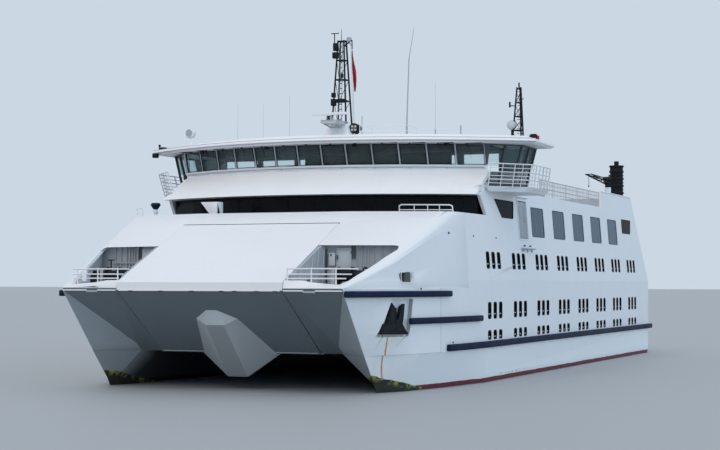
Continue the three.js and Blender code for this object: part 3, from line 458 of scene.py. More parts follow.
def block(x, y, z, bevel=0.0):
    # Each of x, y and z is a low and high value in full-size metres
    low, high = at(x[0], y[0], z[0]), at(x[1], y[1], z[1])
    clearSelection()
    bpy.ops.mesh.primitive_cube_add(size=1, location=(low + high) / 2)
    piece = bpy.context.object
    piece.scale = high - low
    settle(piece)
    return bevelEdges(piece, bevel) if bevel else piece


def rod(start, end, radius, sides=8, endRadius=None):
    start, end = at(*start), at(*end)
    clearSelection()
    bpy.ops.mesh.primitive_cone_add(
        vertices=sides,
        radius1=radius * ship["scale"],
        radius2=(radius if endRadius is None else endRadius) * ship["scale"],
        depth=(end - start).length,
        location=(start + end) / 2,
        rotation=(end - start).to_track_quat("Z", "Y").to_euler(),
    )
    return settle(bpy.context.object)


def upright(x, y, foot, top, radius, sides=8, endRadius=None):
    return rod((x, y, foot), (x, y, top), radius, sides, endRadius)


def ball(place, radius, rings=10):
    clearSelection()
    bpy.ops.mesh.primitive_uv_sphere_add(
        segments=2 * rings, ring_count=rings, radius=radius * ship["scale"], location=at(*place)
    )
    return settle(bpy.context.object)


def pipe(points, radius, sides=4):
    # Bent tube through full-size points
    curve = bpy.data.curves.new("pipe", "CURVE")
    curve.dimensions = "3D"
    curve.bevel_depth = radius * ship["scale"]
    curve.bevel_resolution = sides
    curve.use_fill_caps = True
    spline = curve.splines.new("POLY")
    spline.points.add(len(points) - 1)
    for point, place in zip(spline.points, points):
        point.co = (*at(*place), 1)
    piece = bpy.data.objects.new("pipe", curve)
    bpy.context.collection.objects.link(piece)
    makeActive(piece)
    bpy.ops.object.convert(target="MESH")
    return bpy.context.object


def joined(pieces):
    clearSelection()
    for piece in pieces:
        piece.select_set(True)
    bpy.context.view_layer.objects.active = pieces[0]
    if len(pieces) > 1:
        bpy.ops.object.join()
    return bpy.context.object


def movedAft(piece, distance):
    # A copy with its own mesh, further aft by full-size metres
    other = piece.copy()
    other.data = piece.data.copy()
    bpy.context.collection.objects.link(other)
    other.data.transform(Matrix.Translation((0, distance * ship["scale"], 0)))
    return other


def sideTurn(y, z, out, side):
    along = (onSide(y + 0.1, z, 0, side) - onSide(y - 0.1, z, 0, side)).normalized()
    up = (onSide(y, z + 0.1, 0, side) - onSide(y, z - 0.1, 0, side)).normalized()
    across = along.cross(up).normalized()
    turn = Matrix((across, along, up)).transposed().to_4x4()
    return Matrix.Translation(onSide(y, z, 0, side) + across * side * out * ship["scale"]) @ turn


def sideBlock(y, z, out, depth, side, bevel=0.0):
    # Block that lies on the outer side, its middle at a distance out from the plating
    clearSelection()
    bpy.ops.mesh.primitive_cube_add(size=1)
    piece = bpy.context.object
    piece.scale = Vector((depth, y[1] - y[0], z[1] - z[0])) * ship["scale"]
    settle(piece)
    piece.matrix_world = sideTurn((y[0] + y[1]) / 2, (z[0] + z[1]) / 2, out, side)
    settle(piece)
    return bevelEdges(piece, bevel) if bevel else piece


def finish(parts, name, material, body="ship", stands=(), smooth=35):
    # Joins a list of parts, names the piece, paints it, smooths it, hangs it on its body and hides the solids
    # it stands for
    piece = joined(parts) if isinstance(parts, list) else parts
    piece.name = name
    piece.data.name = name
    piece.data.materials.clear()
    for one in material if isinstance(material, list) else [material]:
        piece.data.materials.append(one)
    makeActive(piece)
    if smooth:
        bpy.ops.object.shade_smooth_by_angle(angle=math.radians(smooth))
    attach(piece, body)
    if stands:
        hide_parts(*stands)
    return piece


def paintFaces(piece, slotIndex, test):
    # Gives the faces that pass the test, by middle and normal, another of the piece's materials
    for face in piece.data.polygons:
        if test(face.center, face.normal):
            face.material_index = slotIndex


def nodeCopy(name, bevel=0.0, segments=2, angle=30):
    # Copy of a solid with its doubles merged, flat faces joined and edges softened
    piece = bpy.data.objects.new(name + "_shape", nodes[name].data.copy())
    bpy.context.collection.objects.link(piece)
    editAll(piece)
    bpy.ops.mesh.remove_doubles(threshold=0.00005)
    bpy.ops.mesh.dissolve_limited(angle_limit=math.radians(0.5))
    bpy.ops.object.mode_set(mode="OBJECT")
    return bevelEdges(piece, bevel, segments, angle) if bevel else piece


# Bow visor and wedge, with seams, lip strips, lugs and pads
visorLook = {
    "edge": 0.012, "stripY": (-0.03, 0.05), "stripZ": (5.585, 5.65), "padX": (6.25, 6.95),
    "padZ": (5.5, 5.61), "greyBelow": 5.6, "wedgeBelow": 5.2, "wedgeHalf": 2.5, "ramp": -0.564,
    "capNormal": -0.54, "sideX": 5.043, "footSeamZ": 2.12, "sealX": 5.055,
    "seal": {"port": 0.018, "starboard": 0.03}, "lugX": (-4.3, -2.4, -0.5, 1.3, 2.1, 3.4, 4.5),
}


def makeVisor():
    shell = nodeCopy("bow_visor", visorLook["edge"])
    visorPaints = [whitePaint, underPaint, wedgePaint, wedgeTopPaint, wedgeFootPaint]
    finish(shell, "bow_visor_skin", visorPaints, "bow_visor", ["bow_visor"], 12)
    low = visorLook["greyBelow"] * ship["scale"]
    wedgeTop, reach = visorLook["wedgeBelow"] * ship["scale"], visorLook["wedgeHalf"] * ship["scale"]

    def onWedge(middle, normal):
        onRamp = abs(normal.x) < 0.02 and abs(normal.y - visorLook["ramp"]) < 0.03
        return middle.z < wedgeTop and abs(middle.x) < reach and normal.y < -0.2 and not onRamp

    def onWedgeTop(middle, normal):
        return onWedge(middle, normal) and normal.z > visorLook["capNormal"]

    def onWedgeFront(middle, normal):
        return onWedge(middle, normal) and normal.z < visorLook["capNormal"] and abs(normal.x) < 0.2

    # Painted shade: faces below the lip that face down or sideways take the dark underside grey; the wedge
    # takes its grey, lighter on its top facets as painted light and darker on its front facets as painted
    # shade
    paintFaces(shell, 1, lambda middle, normal: middle.z < low and (normal.z < -0.3 or abs(normal.x) > 0.5))
    paintFaces(shell, 2, onWedge)
    paintFaces(shell, 3, onWedgeTop)
    paintFaces(shell, 4, onWedgeFront)
    z = visorLook["footSeamZ"]
    y = (5.63 - z) / 0.684
    sideX = visorLook["sideX"]
    trim = [block((-4.9, 4.9), (-0.03, 0.04), visorLook["stripZ"])]
    trim.append(block((-5.0, 5.0), (7.73, 7.79), (9.43, 9.465)))
    trim += [rod((x, 0.25, 6.16), (x, 7.68, 9.42), 0.013, 4) for x in (-sideX, sideX)]
    seams = [block(x, (y - 0.06, y + 0.04), (z - 0.025, z + 0.015)) for x in ((-4.9, -2.2), (2.3, 4.9))]
    finish(seams, "visor_foot_strip", wedgePaint, "bow_visor", smooth=0)
    lugs = [block((x, x + 0.28), (-0.05, 0.05), (5.55, 5.6), 0.01) for x in visorLook["lugX"]]
    finish(lugs, "visor_lugs", darkPaint, "bow_visor", smooth=0)
    finish(trim, "visor_trim", whitePaint, "bow_visor", smooth=0)
    for side, sign in sides:
        lip = [block(sorted(x * sign for x in xs), visorLook["stripY"], visorLook["stripZ"])
               for xs in ((5.1, 6.25), (6.95, 8.48))]
        finish(lip, "lip_strip_" + side, whitePaint, smooth=0)
        pad = block(sorted(x * sign for x in visorLook["padX"]), (-0.06, 0.08), visorLook["padZ"], 0.02)
        finish(pad, "lip_pad_" + side, greyPaint)
        sealX = visorLook["sealX"] * sign
        seal = rod((sealX, -0.01, 5.6), (sealX, 5.2, 2.07), visorLook["seal"][side], 4)
        sealPaint = darkPaint if side == "port" else underPaint
        finish(seal, "visor_seal_" + side, sealPaint, smooth=0)


makeVisor()


# Bow blocks and hulls keep their solids, with softened edges and their own paint, darker on facets,
# undersides and inner faces as painted shade
def isFacet(normal, sign):
    return normal.y < -0.2 and normal.x * sign < 0.1 and normal.z < 0.3


def isUnderside(normal):
    return normal.y < -0.4 and abs(normal.x) < 0.15 and normal.z < -0.5


for side, sign in sides:
    blockShape = nodeCopy("bow_block_" + side, 0.02, 1)
    finish(blockShape, "bow_plating_" + side, [bowPaint, facetPaint, underPaint],
           stands=["bow_block_" + side], smooth=20)
    # Painted shade: inner front facets take the darkened grey, undersides the dark underside grey
    paintFaces(blockShape, 1, lambda middle, normal: isFacet(normal, sign))
    paintFaces(blockShape, 2, lambda middle, normal: isUnderside(normal))
    hullShape = nodeCopy("hull_" + side)
    finish(hullShape, "hull_plating_" + side, [underwaterPaint, underwaterShade],
           stands=["hull_" + side], smooth=20)
    # Painted shade: faces turned in between the hulls take the dark underwater colours
    paintFaces(hullShape, 1, lambda middle, normal: normal.x * sign < 0.1)
shellShape = nodeCopy("bow_shell", 0.012, 2, 35)
finish(shellShape, "bow_shell_skin", whitePaint, stands=["bow_shell"], smooth=30)

# Rub rails: navy fenders with rounded edges
for name in ("rub_rail_upper", "rub_rail_middle", "rub_rail_lower"):
    for side, sign in sides:
        fender = nodeCopy(name + "_" + side, 0.07, 2, 50)
        finish(fender, name + "_fender_" + side, navyFender, stands=[name + "_" + side])
print("bow done")

# Anchors: crown, shank and fluke edges over the plain solid
anchorLook = {"x": 9.17, "y": 3.41, "alongX": 0.33, "alongY": 0.944}


def onBow(s, z, out, sign):
    x = anchorLook["x"] + anchorLook["alongX"] * s + anchorLook["alongY"] * out
    return x * sign, anchorLook["y"] + anchorLook["alongY"] * s - anchorLook["alongX"] * out, z


for side, sign in sides:
    anchor = nodeCopy("anchor_" + side, 0.05, 2, 40)
    crown = rod(onBow(0.12, 3.34, 0.02, sign), onBow(2.4, 3.3, 0.02, sign), 0.07)
    shank = rod(onBow(1.55, 3.5, 0.0, sign), onBow(1.55, 4.05, -0.05, sign), 0.09)
    parts = [anchor, crown, shank]
    for s0, s1, top in ((0.98, 1.14, 4.85), (1.95, 2.19, 4.8)):
        parts.append(rod(onBow(s0, 3.7, 0.0, sign), onBow(s1, top, -0.02, sign), 0.05, 8, 0.02))
    finish(parts, "anchor_body_" + side, darkPaint, stands=["anchor_" + side])

# Fairleads near the bow on both sides
fairleadLook = {
    "y": (5.0, 6.32), "z": (6.07, 6.66), "corner": 0.2, "tube": 0.02, "rollerY": 5.98,
    "rollerZ": (6.08, 6.66), "boxY": (4.9, 6.45), "boxZ": (5.98, 6.75), "inset": -0.36,
}


def fairleadRing(sign):
    # Rounded outline on the plating
    corner = fairleadLook["corner"]
    y0, y1 = fairleadLook["y"][0] + corner, fairleadLook["y"][1] - corner
    z0, z1 = fairleadLook["z"][0] + corner, fairleadLook["z"][1] - corner
    ring = []
    for turn, (cy, cz) in enumerate(((y1, z1), (y0, z1), (y0, z0), (y1, z0))):
        for k in range(5):
            angle = math.radians(90 * turn + 22.5 * k)
            y, z = cy + corner * math.cos(angle), cz + corner * math.sin(angle)
            ring.append((sideHalf(y, z) * sign, y, z))
    return ring + ring[:1]


for side, sign in sides:
    rim = pipe(fairleadRing(sign), fairleadLook["tube"])
    inset, boxY, boxZ = fairleadLook["inset"], fairleadLook["boxY"], fairleadLook["boxZ"]
    foot, top = (sidePlace(fairleadLook["rollerY"], z, inset, sign) for z in fairleadLook["rollerZ"])
    finish(rod(foot, top, 0.3, 24), "fairlead_roller_" + side, framePaint)
    finish(rim, "fairlead_rim_" + side, whitePaint)
    # Dark box inside each opening: painted shade
    inside = [sideBlock(boxY, boxZ, -0.55, 0.04, sign)]
    inside += [sideBlock((y, y + 0.04), boxZ, inset, 0.34, sign) for y in (4.9, 6.41)]
    inside += [sideBlock(boxY, (z, z + 0.04), inset, 0.34, sign) for z in (5.95, 6.71)]
    finish(inside, "fairlead_box_" + side, darkPaint, smooth=0)
print("anchors and fairleads done")

# Mooring bays: inner walls in a darkened white as painted shade, and what hangs on the walls behind the rails
bayLook = {
    "backY": 5.35, "backSlope": 0.2371, "deck": 5.77, "ribX": 5.26, "ribFoot": 5.85,
    "ribY": (1.9, 2.7, 3.5, 4.3, 5.1), "stiffenerX": (6.95, 7.2, 7.4, 7.6, 7.85, 8.3, 8.75),
    "door": {"x": (5.82, 6.68), "z": (6.71, 8.0)}, "cabinet": {"x": (5.45, 5.81), "z": (6.99, 7.72)},
}
ropeLook = {
    "turns": 10, "x": 6.66, "step": 0.06, "lastX": 7.5, "y": 4.2, "z": 6.45, "coil": 0.31, "rope": 0.034,
}


def onBack(x, z, out, sign):
    return x * sign, bayLook["backY"] + (abs(x) - 5.1) * bayLook["backSlope"] - out, z


def backBlock(x, z, out, depth, sign, bevel=0.0):
    # Block on the slanting back wall of a bay
    halfX, halfZ, midships = (x[1] - x[0]) / 2, (z[1] - z[0]) / 2, ship["midships"]
    piece = block((-halfX, halfX), (midships - depth / 2, midships + depth / 2), (-halfZ, halfZ), bevel)
    turn = Matrix.Rotation(math.atan(bayLook["backSlope"]) * sign, 4, "Z")
    place = onBack((x[0] + x[1]) / 2, (z[0] + z[1]) / 2, out, sign)
    piece.data.transform(Matrix.Translation(at(*place)) @ turn)
    return piece


def roundedPlate(corners, radius):
    # Flat face through corners in order, its corners rounded
    clearSelection()
    bpy.ops.mesh.primitive_plane_add(size=1)
    piece = bpy.context.object
    for vertex, corner in zip((0, 1, 3, 2), corners):
        piece.data.vertices[vertex].co = corner
    editAll(piece)
    bpy.ops.mesh.bevel(offset=radius * ship["scale"], segments=4, affect="VERTICES")
    bpy.ops.object.mode_set(mode="OBJECT")
    return piece


def frameOf(corners, width, proud, radius):
    # Ring of flat bar around an outline, standing proud of it
    piece = roundedPlate(corners, radius)
    editAll(piece)
    bpy.ops.mesh.inset(thickness=width * ship["scale"], depth=0)
    bpy.ops.mesh.delete(type="FACE")
    bpy.ops.mesh.select_all(action="SELECT")
    bpy.ops.mesh.extrude_region_shrink_fatten(TRANSFORM_OT_shrink_fatten={"value": proud * ship["scale"]})
    bpy.ops.mesh.select_all(action="SELECT")
    bpy.ops.mesh.normals_make_consistent(inside=False)
    bpy.ops.object.mode_set(mode="OBJECT")
    return piece


def ribTop(y):
    return 6.28 + (y - 0.85) * 0.446


for side, sign in sides:
    walls = nodeCopy("mooring_bay_" + side)
    finish(walls, "bay_walls_" + side, [greyPaint, wallPaint],
           stands=["mooring_bay_" + side], smooth=0)
    # Painted shade: the walls that face outboard inside the bay take the darkened white
    paintFaces(walls, 1, lambda middle, normal: normal.x * sign > 0.7)
    ribX, foot = bayLook["ribX"] * sign, bayLook["ribFoot"]
    ribs = [rod((ribX, y - 0.35, foot), (ribX, y, ribTop(y)), 0.035, 4) for y in bayLook["ribY"]]
    finish(ribs, "bay_ribs_" + side, wallPaint)
    height = (bayLook["deck"] + 0.02, 8.3)
    stiffeners = [backBlock((x, x + 0.05), height, 0.05, 0.08, sign) for x in bayLook["stiffenerX"]]
    if side == "starboard":
        stiffeners.append(backBlock((5.2, 9.0), (7.16, 7.22), 0.06, 0.1, sign))
    finish(stiffeners, "bay_stiffeners_" + side, greyPaint, smooth=0)
    (near, far), (foot, top) = bayLook["door"]["x"], bayLook["door"]["z"]
    leaf = [
        backBlock((near, far), (foot, top), 0.05, 0.1, sign, 0.03),
        backBlock((near + 0.12, far - 0.12), (foot + 0.14, top - 0.14), 0.12, 0.05, sign, 0.02),
        backBlock(bayLook["cabinet"]["x"], bayLook["cabinet"]["z"], 0.13, 0.26, sign, 0.03),
    ]
    finish(leaf, "bay_door_" + side, palePaint)
    fittings = [backBlock((5.9, 5.98), (7.35, 7.6), 0.18, 0.08, sign, 0.01)]
    fittings += [backBlock((far - 0.02, far + 0.06), (z, z + 0.1), 0.1, 0.1, sign) for z in (6.85, 7.7)]
    fittings.append(rod(onBack(5.62, 7.6, 0.25, sign), onBack(5.62, 7.6, 0.31, sign), 0.05, 12))
    fittings += [rod(onBack(x, 7.4, 0.1, sign), onBack(x, 8.25, 0.1, sign), 0.04, 8) for x in (6.74, 6.86)]
    if side == "port":
        fittings.append(upright(5.3, 5.3, bayLook["deck"], 7.95, 0.055, 4))
    fittings.append(block(sorted((6.2 * sign, 6.34 * sign)), (0.6, 0.75), (6.12, 6.32), 0.02))
    finish(fittings, "bay_fittings_" + side, framePaint)

# Box and lever of the starboard bay, and rope laid round both winches
hungBox = block((-7.5, -7.24), (0.38, 0.6), (6.12, 6.73), 0.03)
finish(hungBox, "rail_box", whitePaint)
lever = [
    upright(-7.78, 4.0, 6.8, 7.34, 0.04), rod((-7.98, 4.0, 7.34), (-7.56, 4.0, 7.34), 0.035),
    block((-7.1, -6.86), (0.62, 0.85), (6.0, 6.5), 0.03),
]
finish(lever, "winch_lever", darkPaint)
for side, sign in sides:
    coils = [nodeCopy("winch_drum_" + side, 0.02, 2, 50)]
    for x in [ropeLook["x"] + k * ropeLook["step"] for k in range(ropeLook["turns"])] + [ropeLook["lastX"]]:
        clearSelection()
        bpy.ops.mesh.primitive_torus_add(
            major_segments=20, minor_segments=6, rotation=(0, math.pi / 2, 0),
            major_radius=ropeLook["coil"] * ship["scale"], minor_radius=ropeLook["rope"] * ship["scale"],
            location=at(x * sign, ropeLook["y"], ropeLook["z"]),
        )
        coils.append(settle(bpy.context.object))
    finish(coils, "winch_drum_rope_" + side, darkPaint,
           "winch_" + side, ["winch_drum_" + side])
print("bays done")


# Outer sides: frames round the windows, curtains behind the glass, bars of the slots, and dark reveals, rims
# and backing sheets in the slots as painted shade
def rectangle(across, up, grow=0.0):
    near, far, foot, top = across[0] - grow, across[1] + grow, up[0] - grow, up[1] + grow
    return [(near, foot), (far, foot), (far, top), (near, top)]


longWindow = rectangle((27.1, 30.15), (9.15, 11.15))
endWindows = [
    [(54.0, 10.15), (57.0, 10.15), (57.4, 11.33), (54.0, 11.33)],
    [(20.4, 10.18), (22.9, 10.18), (23.2, 11.33), (19.0, 11.33)],
]
doorLook = {
    "y": (24.0, 26.0), "z": (8.95, 11.45), "rim": 0.1, "proud": 0.05, "paneY": (24.5, 25.5),
    "paneZ": (10.3, 11.1), "handleY": (25.55, 25.62), "handleZ": (10.05, 10.35),
    "gutterY": (23.7, 26.3), "gutterZ": (11.66, 11.72), "shelfY": (24.2, 27.0), "shelfZ": (8.26, 8.32),
    "lampY": (24.9, 26.2), "lampZ": 8.5,
}
slotLook = {"step": 1.13, "groups": 8, "half": 0.34, "barShare": 0.28, "bar": 1.6, "back": 1.8}
# Foot, top and middle of the first slot in each of the three bands
slotBands = ((6.95, 7.95, 17.95), (3.88, 4.86, 18.0), (2.62, 3.14, 18.0))
sideLamps = ((10.77, 8.94), (14.5, 8.86), (18.8, 8.85), (7.0, 5.72), (10.84, 2.62))


def isReveal(middle, normal):
    # A face inside one of the slots
    y, z = middle.y / ship["scale"] + ship["midships"], middle.z / ship["scale"]
    inBand = any(foot - 0.02 < z < top + 0.02 for foot, top, first in slotBands)
    return abs(normal.x) < 0.5 and y < 58 and inBand


def sideOutline(points, out, side):
    corners = [onSide(y, z, out, side) for y, z in points]
    return corners if side > 0 else corners[::-1]


def sideRod(y, z, near, far, radius, edges, side):
    # Rod through the plating, between two distances out from it
    return rod(sidePlace(y, z, near, side), sidePlace(y, z, far, side), radius, edges)


def makeWindows(side, sign):
    # The five long windows are alike: one rim and one pane are copied aft
    rims = [frameOf(sideOutline(row, 0.0, sign), 0.035, 0.014, 0.13) for row in [longWindow] + endWindows]
    panes = [roundedPlate(sideOutline(longWindow, -0.012, sign), 0.14)]
    for k in range(1, 5):
        rims.append(movedAft(rims[0], k * ship["framePitch"]))
        panes.append(movedAft(panes[0], k * ship["framePitch"]))
    dark = [roundedPlate(sideOutline(points, -0.02, sign), 0.14) for points in endWindows]
    finish(rims, "window_rims_" + side, darkPaint, smooth=0)
    finish(panes, "window_panes_" + side, curtainGlass, smooth=0)
    finish(dark, "end_panes_" + side, endGlass, smooth=0)


def makeSideDoor(side, sign):
    outline = sideOutline(rectangle(doorLook["y"], doorLook["z"], doorLook["rim"]), 0.0, sign)
    trim = [frameOf(outline, doorLook["rim"], doorLook["proud"], 0.12)]
    trim.append(sideBlock(doorLook["gutterY"], doorLook["gutterZ"], 0.08, 0.16, sign, 0.01))
    finish(trim, "door_trim_" + side, whitePaint, smooth=0)
    shelf = [sideBlock(doorLook["shelfY"], doorLook["shelfZ"], 0.12, 0.26, sign, 0.01)]
    shelf += [sideBlock((y, y + 0.05), (8.08, 8.28), 0.03, 0.06, sign) for y in (24.5, 25.5, 26.6)]
    finish(shelf, "door_shelf_" + side, greyPaint, smooth=0)
    doorLamps = [sideRod(y, doorLook["lampZ"], -0.02, 0.12, 0.045, 10, sign) for y in doorLook["lampY"]]
    finish(doorLamps, "door_lamps_" + side, darkPaint)
    pane = sideOutline(rectangle(doorLook["paneY"], doorLook["paneZ"]), -0.04, sign)
    leaf = [
        nodeCopy("side_door_" + side, 0.01, 2, 50),
        sideBlock(doorLook["handleY"], doorLook["handleZ"], -0.015, 0.04, sign, 0.01),
        frameOf(pane, 0.05, 0.02, 0.1),
    ]
    finish(leaf, "side_door_leaf_" + side, greyPaint,
           "side_door_" + side, ["side_door_" + side])


def makeSlots(side, sign):
    # One rim and one bar are copied to every slot of a band
    groups, spacing = range(slotLook["groups"]), ship["framePitch"]
    bars, rims, shadeSheets = [], [], []
    for foot, top, first in slotBands:
        outline = rectangle((first - slotLook["half"], first + slotLook["half"]), (foot - 0.03, top + 0.03))
        rim = frameOf(sideOutline(outline, 0.0, sign), 0.05, 0.01, 0.15)
        height = foot + (top - foot) * slotLook["barShare"]
        near, far = first - slotLook["bar"], first + slotLook["bar"]
        bar = sideBlock((near, far), (height - 0.03, height + 0.03), -0.08, 0.05, sign)
        bars += [bar] + [movedAft(bar, group * spacing) for group in groups[1:]]
        steps = [group * spacing + k * slotLook["step"] for group in groups for k in (-1, 0, 1) if group or k]
        rims += [rim] + [movedAft(rim, step) for step in steps]
        near, far = first - slotLook["back"], first + groups[-1] * spacing + slotLook["back"]
        # Dark sheet behind each band of slots: painted shade in the openings
        shadeSheets.append(sideBlock((near, far), (foot - 0.15, top + 0.15), -0.6, 0.05, sign))
    # Dark rims widen the dark of each slot: painted shade
    finish(rims, "slot_rims_" + side, darkPaint, smooth=0)
    finish(bars, "slot_bars_" + side, palePaint, smooth=0)
    finish(shadeSheets, "slot_backs_" + side, darkPaint, smooth=0)


for side, sign in sides:
    makeWindows(side, sign)
    makeSideDoor(side, sign)
    for solid, skin in (("side_shell_", "side_plating_"), ("upper_side_", "upper_plating_")):
        wall = nodeCopy(solid + side)
        finish(wall, skin + side, [whitePaint, darkPaint],
               stands=[solid + side], smooth=0)
        # Painted shade: faces inside the slots are dark
        paintFaces(wall, 1, isReveal)
    makeSlots(side, sign)
    lenses = [sideRod(y, z, -0.03, 0.03, 0.055, 12, sign) for y, z in sideLamps]
    finish(lenses, "side_lights_" + side, darkPaint)
print("sides done")

# Verandah: mullions and sills on the glazing, a casing in front of it and the rails of the bulwark
verandahLook = {
    "glazing": {"y": 13.5, "sweep": 3.3, "half": 10.6}, "mullionZ": (8.5, 11.38),
    "mullions": (-7.6, -4.62, -0.9, 4.69, 6.19, 9.71),
    "casing": {"x": (-5.88, -4.62), "y": (11.4, 12.1), "z": (9.12, 11.03)},
    "rail": ((7.3, 11.55, 10.1), (7.3, 11.5, 10.6), (7.45, 11.5, 10.66), (10.3, 11.9, 10.62),
             (10.45, 11.95, 10.55), (10.45, 12.1, 10.12)),
    "smallX": (-10.72, -10.3), "smallZ": (10.12, 10.74),
}


def glazingY(x):
    shape = verandahLook["glazing"]
    return shape["y"] + shape["sweep"] * (x / shape["half"]) ** 2


foot, top = verandahLook["mullionZ"]
mullions = [upright(x, glazingY(x) - 0.03, foot, top, 0.025, 4) for x in verandahLook["mullions"]]
finish(mullions, "verandah_mullions", darkPaint, smooth=0)
sillXs = [k * 1.05 - 10.5 for k in range(21)]
sills = [pipe([(x, glazingY(x) - 0.04, z) for x in sillXs], 0.03, 1) for z in (9.2, 11.3)]
finish(sills, "verandah_sills", darkPaint, smooth=0)
casing = block(*verandahLook["casing"].values())
for vertex in casing.data.vertices:
    # The outer side leans in towards the foot
    if vertex.co.x < -5.5 * ship["scale"] and vertex.co.z < 10 * ship["scale"]:
        vertex.co.x += 0.8
casing = [bevelEdges(casing, 0.06), block((-5.1, -4.75), (11.36, 11.42), (9.4, 10.8), 0.01)]
finish(casing, "verandah_casing", whitePaint)
rails = [pipe(verandahLook["rail"], 0.04), pipe([(7.32, 11.52, 10.36), (10.43, 11.97, 10.33)], 0.03)]
rails += [upright(x, 11.5 + (x - 7.45) * 0.14, 10.08, 10.64, 0.03) for x in (8.2, 9.0, 9.7)]
(x0, x1), (z0, z1) = verandahLook["smallX"], verandahLook["smallZ"]
rails.append(pipe([(x0, 12.0, z0), (x0, 12.0, z1), (x1, 12.0, z1), (x1, 12.0, z0)], 0.035))
rails.append(rod((x0, 12.0, 10.44), (x1, 12.0, 10.44), 0.025))
finish(rails, "bulwark_rails", whitePaint)

# Bow vent with its cowl rings
ventLook = {
    "x": -10.72, "y": 14.4, "navyAbove": 10.7,
    "rings": ((10.78, 11.06, 0.15, 0.33), (11.06, 11.19, 0.33, 0.26), (10.12, 10.8, 0.12, 0.12),
              (10.24, 10.36, 0.2, 0.2), (10.56, 10.64, 0.17, 0.17)),
}
cowl = []
for low, high, foot, top in ventLook["rings"]:
    cowl.append(upright(ventLook["x"], ventLook["y"], low, high, foot, 24, top))
ventPiece = finish(cowl, "bow_vent_cowl", [navyFender, whitePaint], stands=["bow_vent"])
paintFaces(ventPiece, 1, lambda middle, normal: middle.z < ventLook["navyAbove"] * ship["scale"])

# Fairings where the ends of the brow meet the sides
for side, sign in sides:
    fairing = [block(sorted((10.0 * sign, 10.69 * sign)), (16.75, 18.6), (11.7, 12.09), 0.02)]
    fairing.append(block(sorted((10.05 * sign, 10.6 * sign)), (16.42, 16.8), (11.7, 12.03)))
    finish(fairing, "brow_fairing_" + side, browPaint)

# Wheelhouse: wipers, window gaskets, sill rail, consoles inside, and dark inner faces, ceiling and bulkhead
# as painted shade
houseLook = {
    "frontY": 15.0, "sweep": 3.4, "half": 10.66, "sill": 13.38, "top": 14.72, "rake": 0.47,
    "panes": 13, "left": -10.5, "wide": 21.0 / 13,
}
paneEdges = [houseLook["left"] + k * houseLook["wide"] for k in range(houseLook["panes"])]


def houseFront(x):
    return houseLook["frontY"] + houseLook["sweep"] * (x / houseLook["half"]) ** 2


def onPane(x, z, out=0.0):
    lean = (z - houseLook["sill"]) / (houseLook["top"] - houseLook["sill"])
    return x, houseFront(x) + 0.02 - houseLook["rake"] * lean - out, z


house = finish(nodeCopy("wheelhouse"), "wheelhouse_plating", [whitePaint, framePaint, greyPaint],
               stands=["wheelhouse"], smooth=20)
sillZ, topZ = (houseLook["sill"] - 0.02) * ship["scale"], (houseLook["top"] + 0.02) * ship["scale"]
# Painted shade: reveals and inner faces in the window band, and the wing walls beside the panes, take the
# dark frame grey so the inside reads dark
paintFaces(house, 1, lambda middle, normal: sillZ < middle.z < topZ and normal.y > -0.5)
paintFaces(house, 2, lambda middle, normal: sillZ + 0.03 < middle.z < topZ - 0.03 and normal.y <= -0.5)
paintFaces(house, 1, lambda middle, normal: abs(middle.x) > 5.3 and 6.05 < middle.z < topZ)
wipers, gaskets = [], []
for x0 in paneEdges:
    x1 = x0 + houseLook["wide"]
    middle = (x0 + x1) / 2
    wipers.append(rod(onPane(middle - 0.1, 14.66, 0.05), onPane(middle + 0.02, 14.3, 0.05), 0.01, 6))
    wipers.append(rod(onPane(middle + 0.02, 14.45, 0.04), onPane(middle + 0.04, 13.8, 0.04), 0.008, 4))
    wipers.append(rod(onPane(middle - 0.1, 14.68, 0.0), onPane(middle - 0.1, 14.66, 0.09), 0.045, 10))
    outline = [onPane(x, z, -0.04) for x, z in rectangle((x0 + 0.06, x1 - 0.06), (13.42, 14.64))]
    gaskets.append(frameOf([at(*place) for place in outline], 0.035, 0.02, 0.06))
finish(wipers, "wipers", darkPaint)
finish(gaskets, "window_gaskets", darkPaint, smooth=0)
railXs = [-10.4 + k * 1.04 for k in range(21)]
railPoints = [(x, houseFront(x) - 0.03, 13.24) for x in railXs]
handrail = [pipe(railPoints, 0.03)]
handrail += [rod((x, y + 0.08, z - 0.08), (x, y, z), 0.022, 6) for x, y, z in railPoints[::2]]
finish(handrail, "sill_handrail", greyPaint)
desk = [block((-4.2, 4.2), (16.3, 17.1), (12.05, 13.1), 0.05)]
desk += [block((x, x + 0.7), (16.45, 16.6), (13.1, 13.55), 0.03) for x in (-3.6, -2.4, -0.9, 0.5, 1.8, 3.0)]
desk += [block((x, x + 0.62), (18.0, 18.6), (12.3, 12.9), 0.1) for x in (-1.2, 0.8)]
desk += [block((x, x + 0.6), (18.55, 18.7), (12.8, 13.75), 0.06) for x in (-1.2, 0.8)]
finish(desk, "bridge_console", darkPaint)
# The ceiling and the aft bulkhead with its cabinet are dark paint: painted shade inside the wheelhouse
ceiling = []
for x0 in paneEdges:
    x1 = x0 + houseLook["wide"]
    ceiling.append(block((x0, x1), (min(houseFront(x0), houseFront(x1)) - 0.1, 22.7), (14.69, 14.74)))
finish(ceiling, "bridge_ceiling", darkPaint, smooth=0)
screen = [
    block((-3.2, 7.2), (21.3, 21.38), (12.05, 14.6), 0.02),
    block((1.0, 3.4), (20.7, 21.3), (12.05, 13.1), 0.04),
]
finish(screen, "bridge_bulkhead", darkPaint)

# Roof: grey gutter, floodlights, lamp, rail, whips and the light boxes
roofLook = {
    "xs": (-13.5, -12, -10, -7.5, -5, -2.5, 0, 2.5, 5, 7.5, 10, 12, 13.5), "frontY": 13.9, "sweep": 5.0,
    "half": 13.5, "floodX": (-8.5, -3, 3, 8.5), "lampX": 1.5, "lampZ": 16.02, "railX": (2.0, 5.1),
}


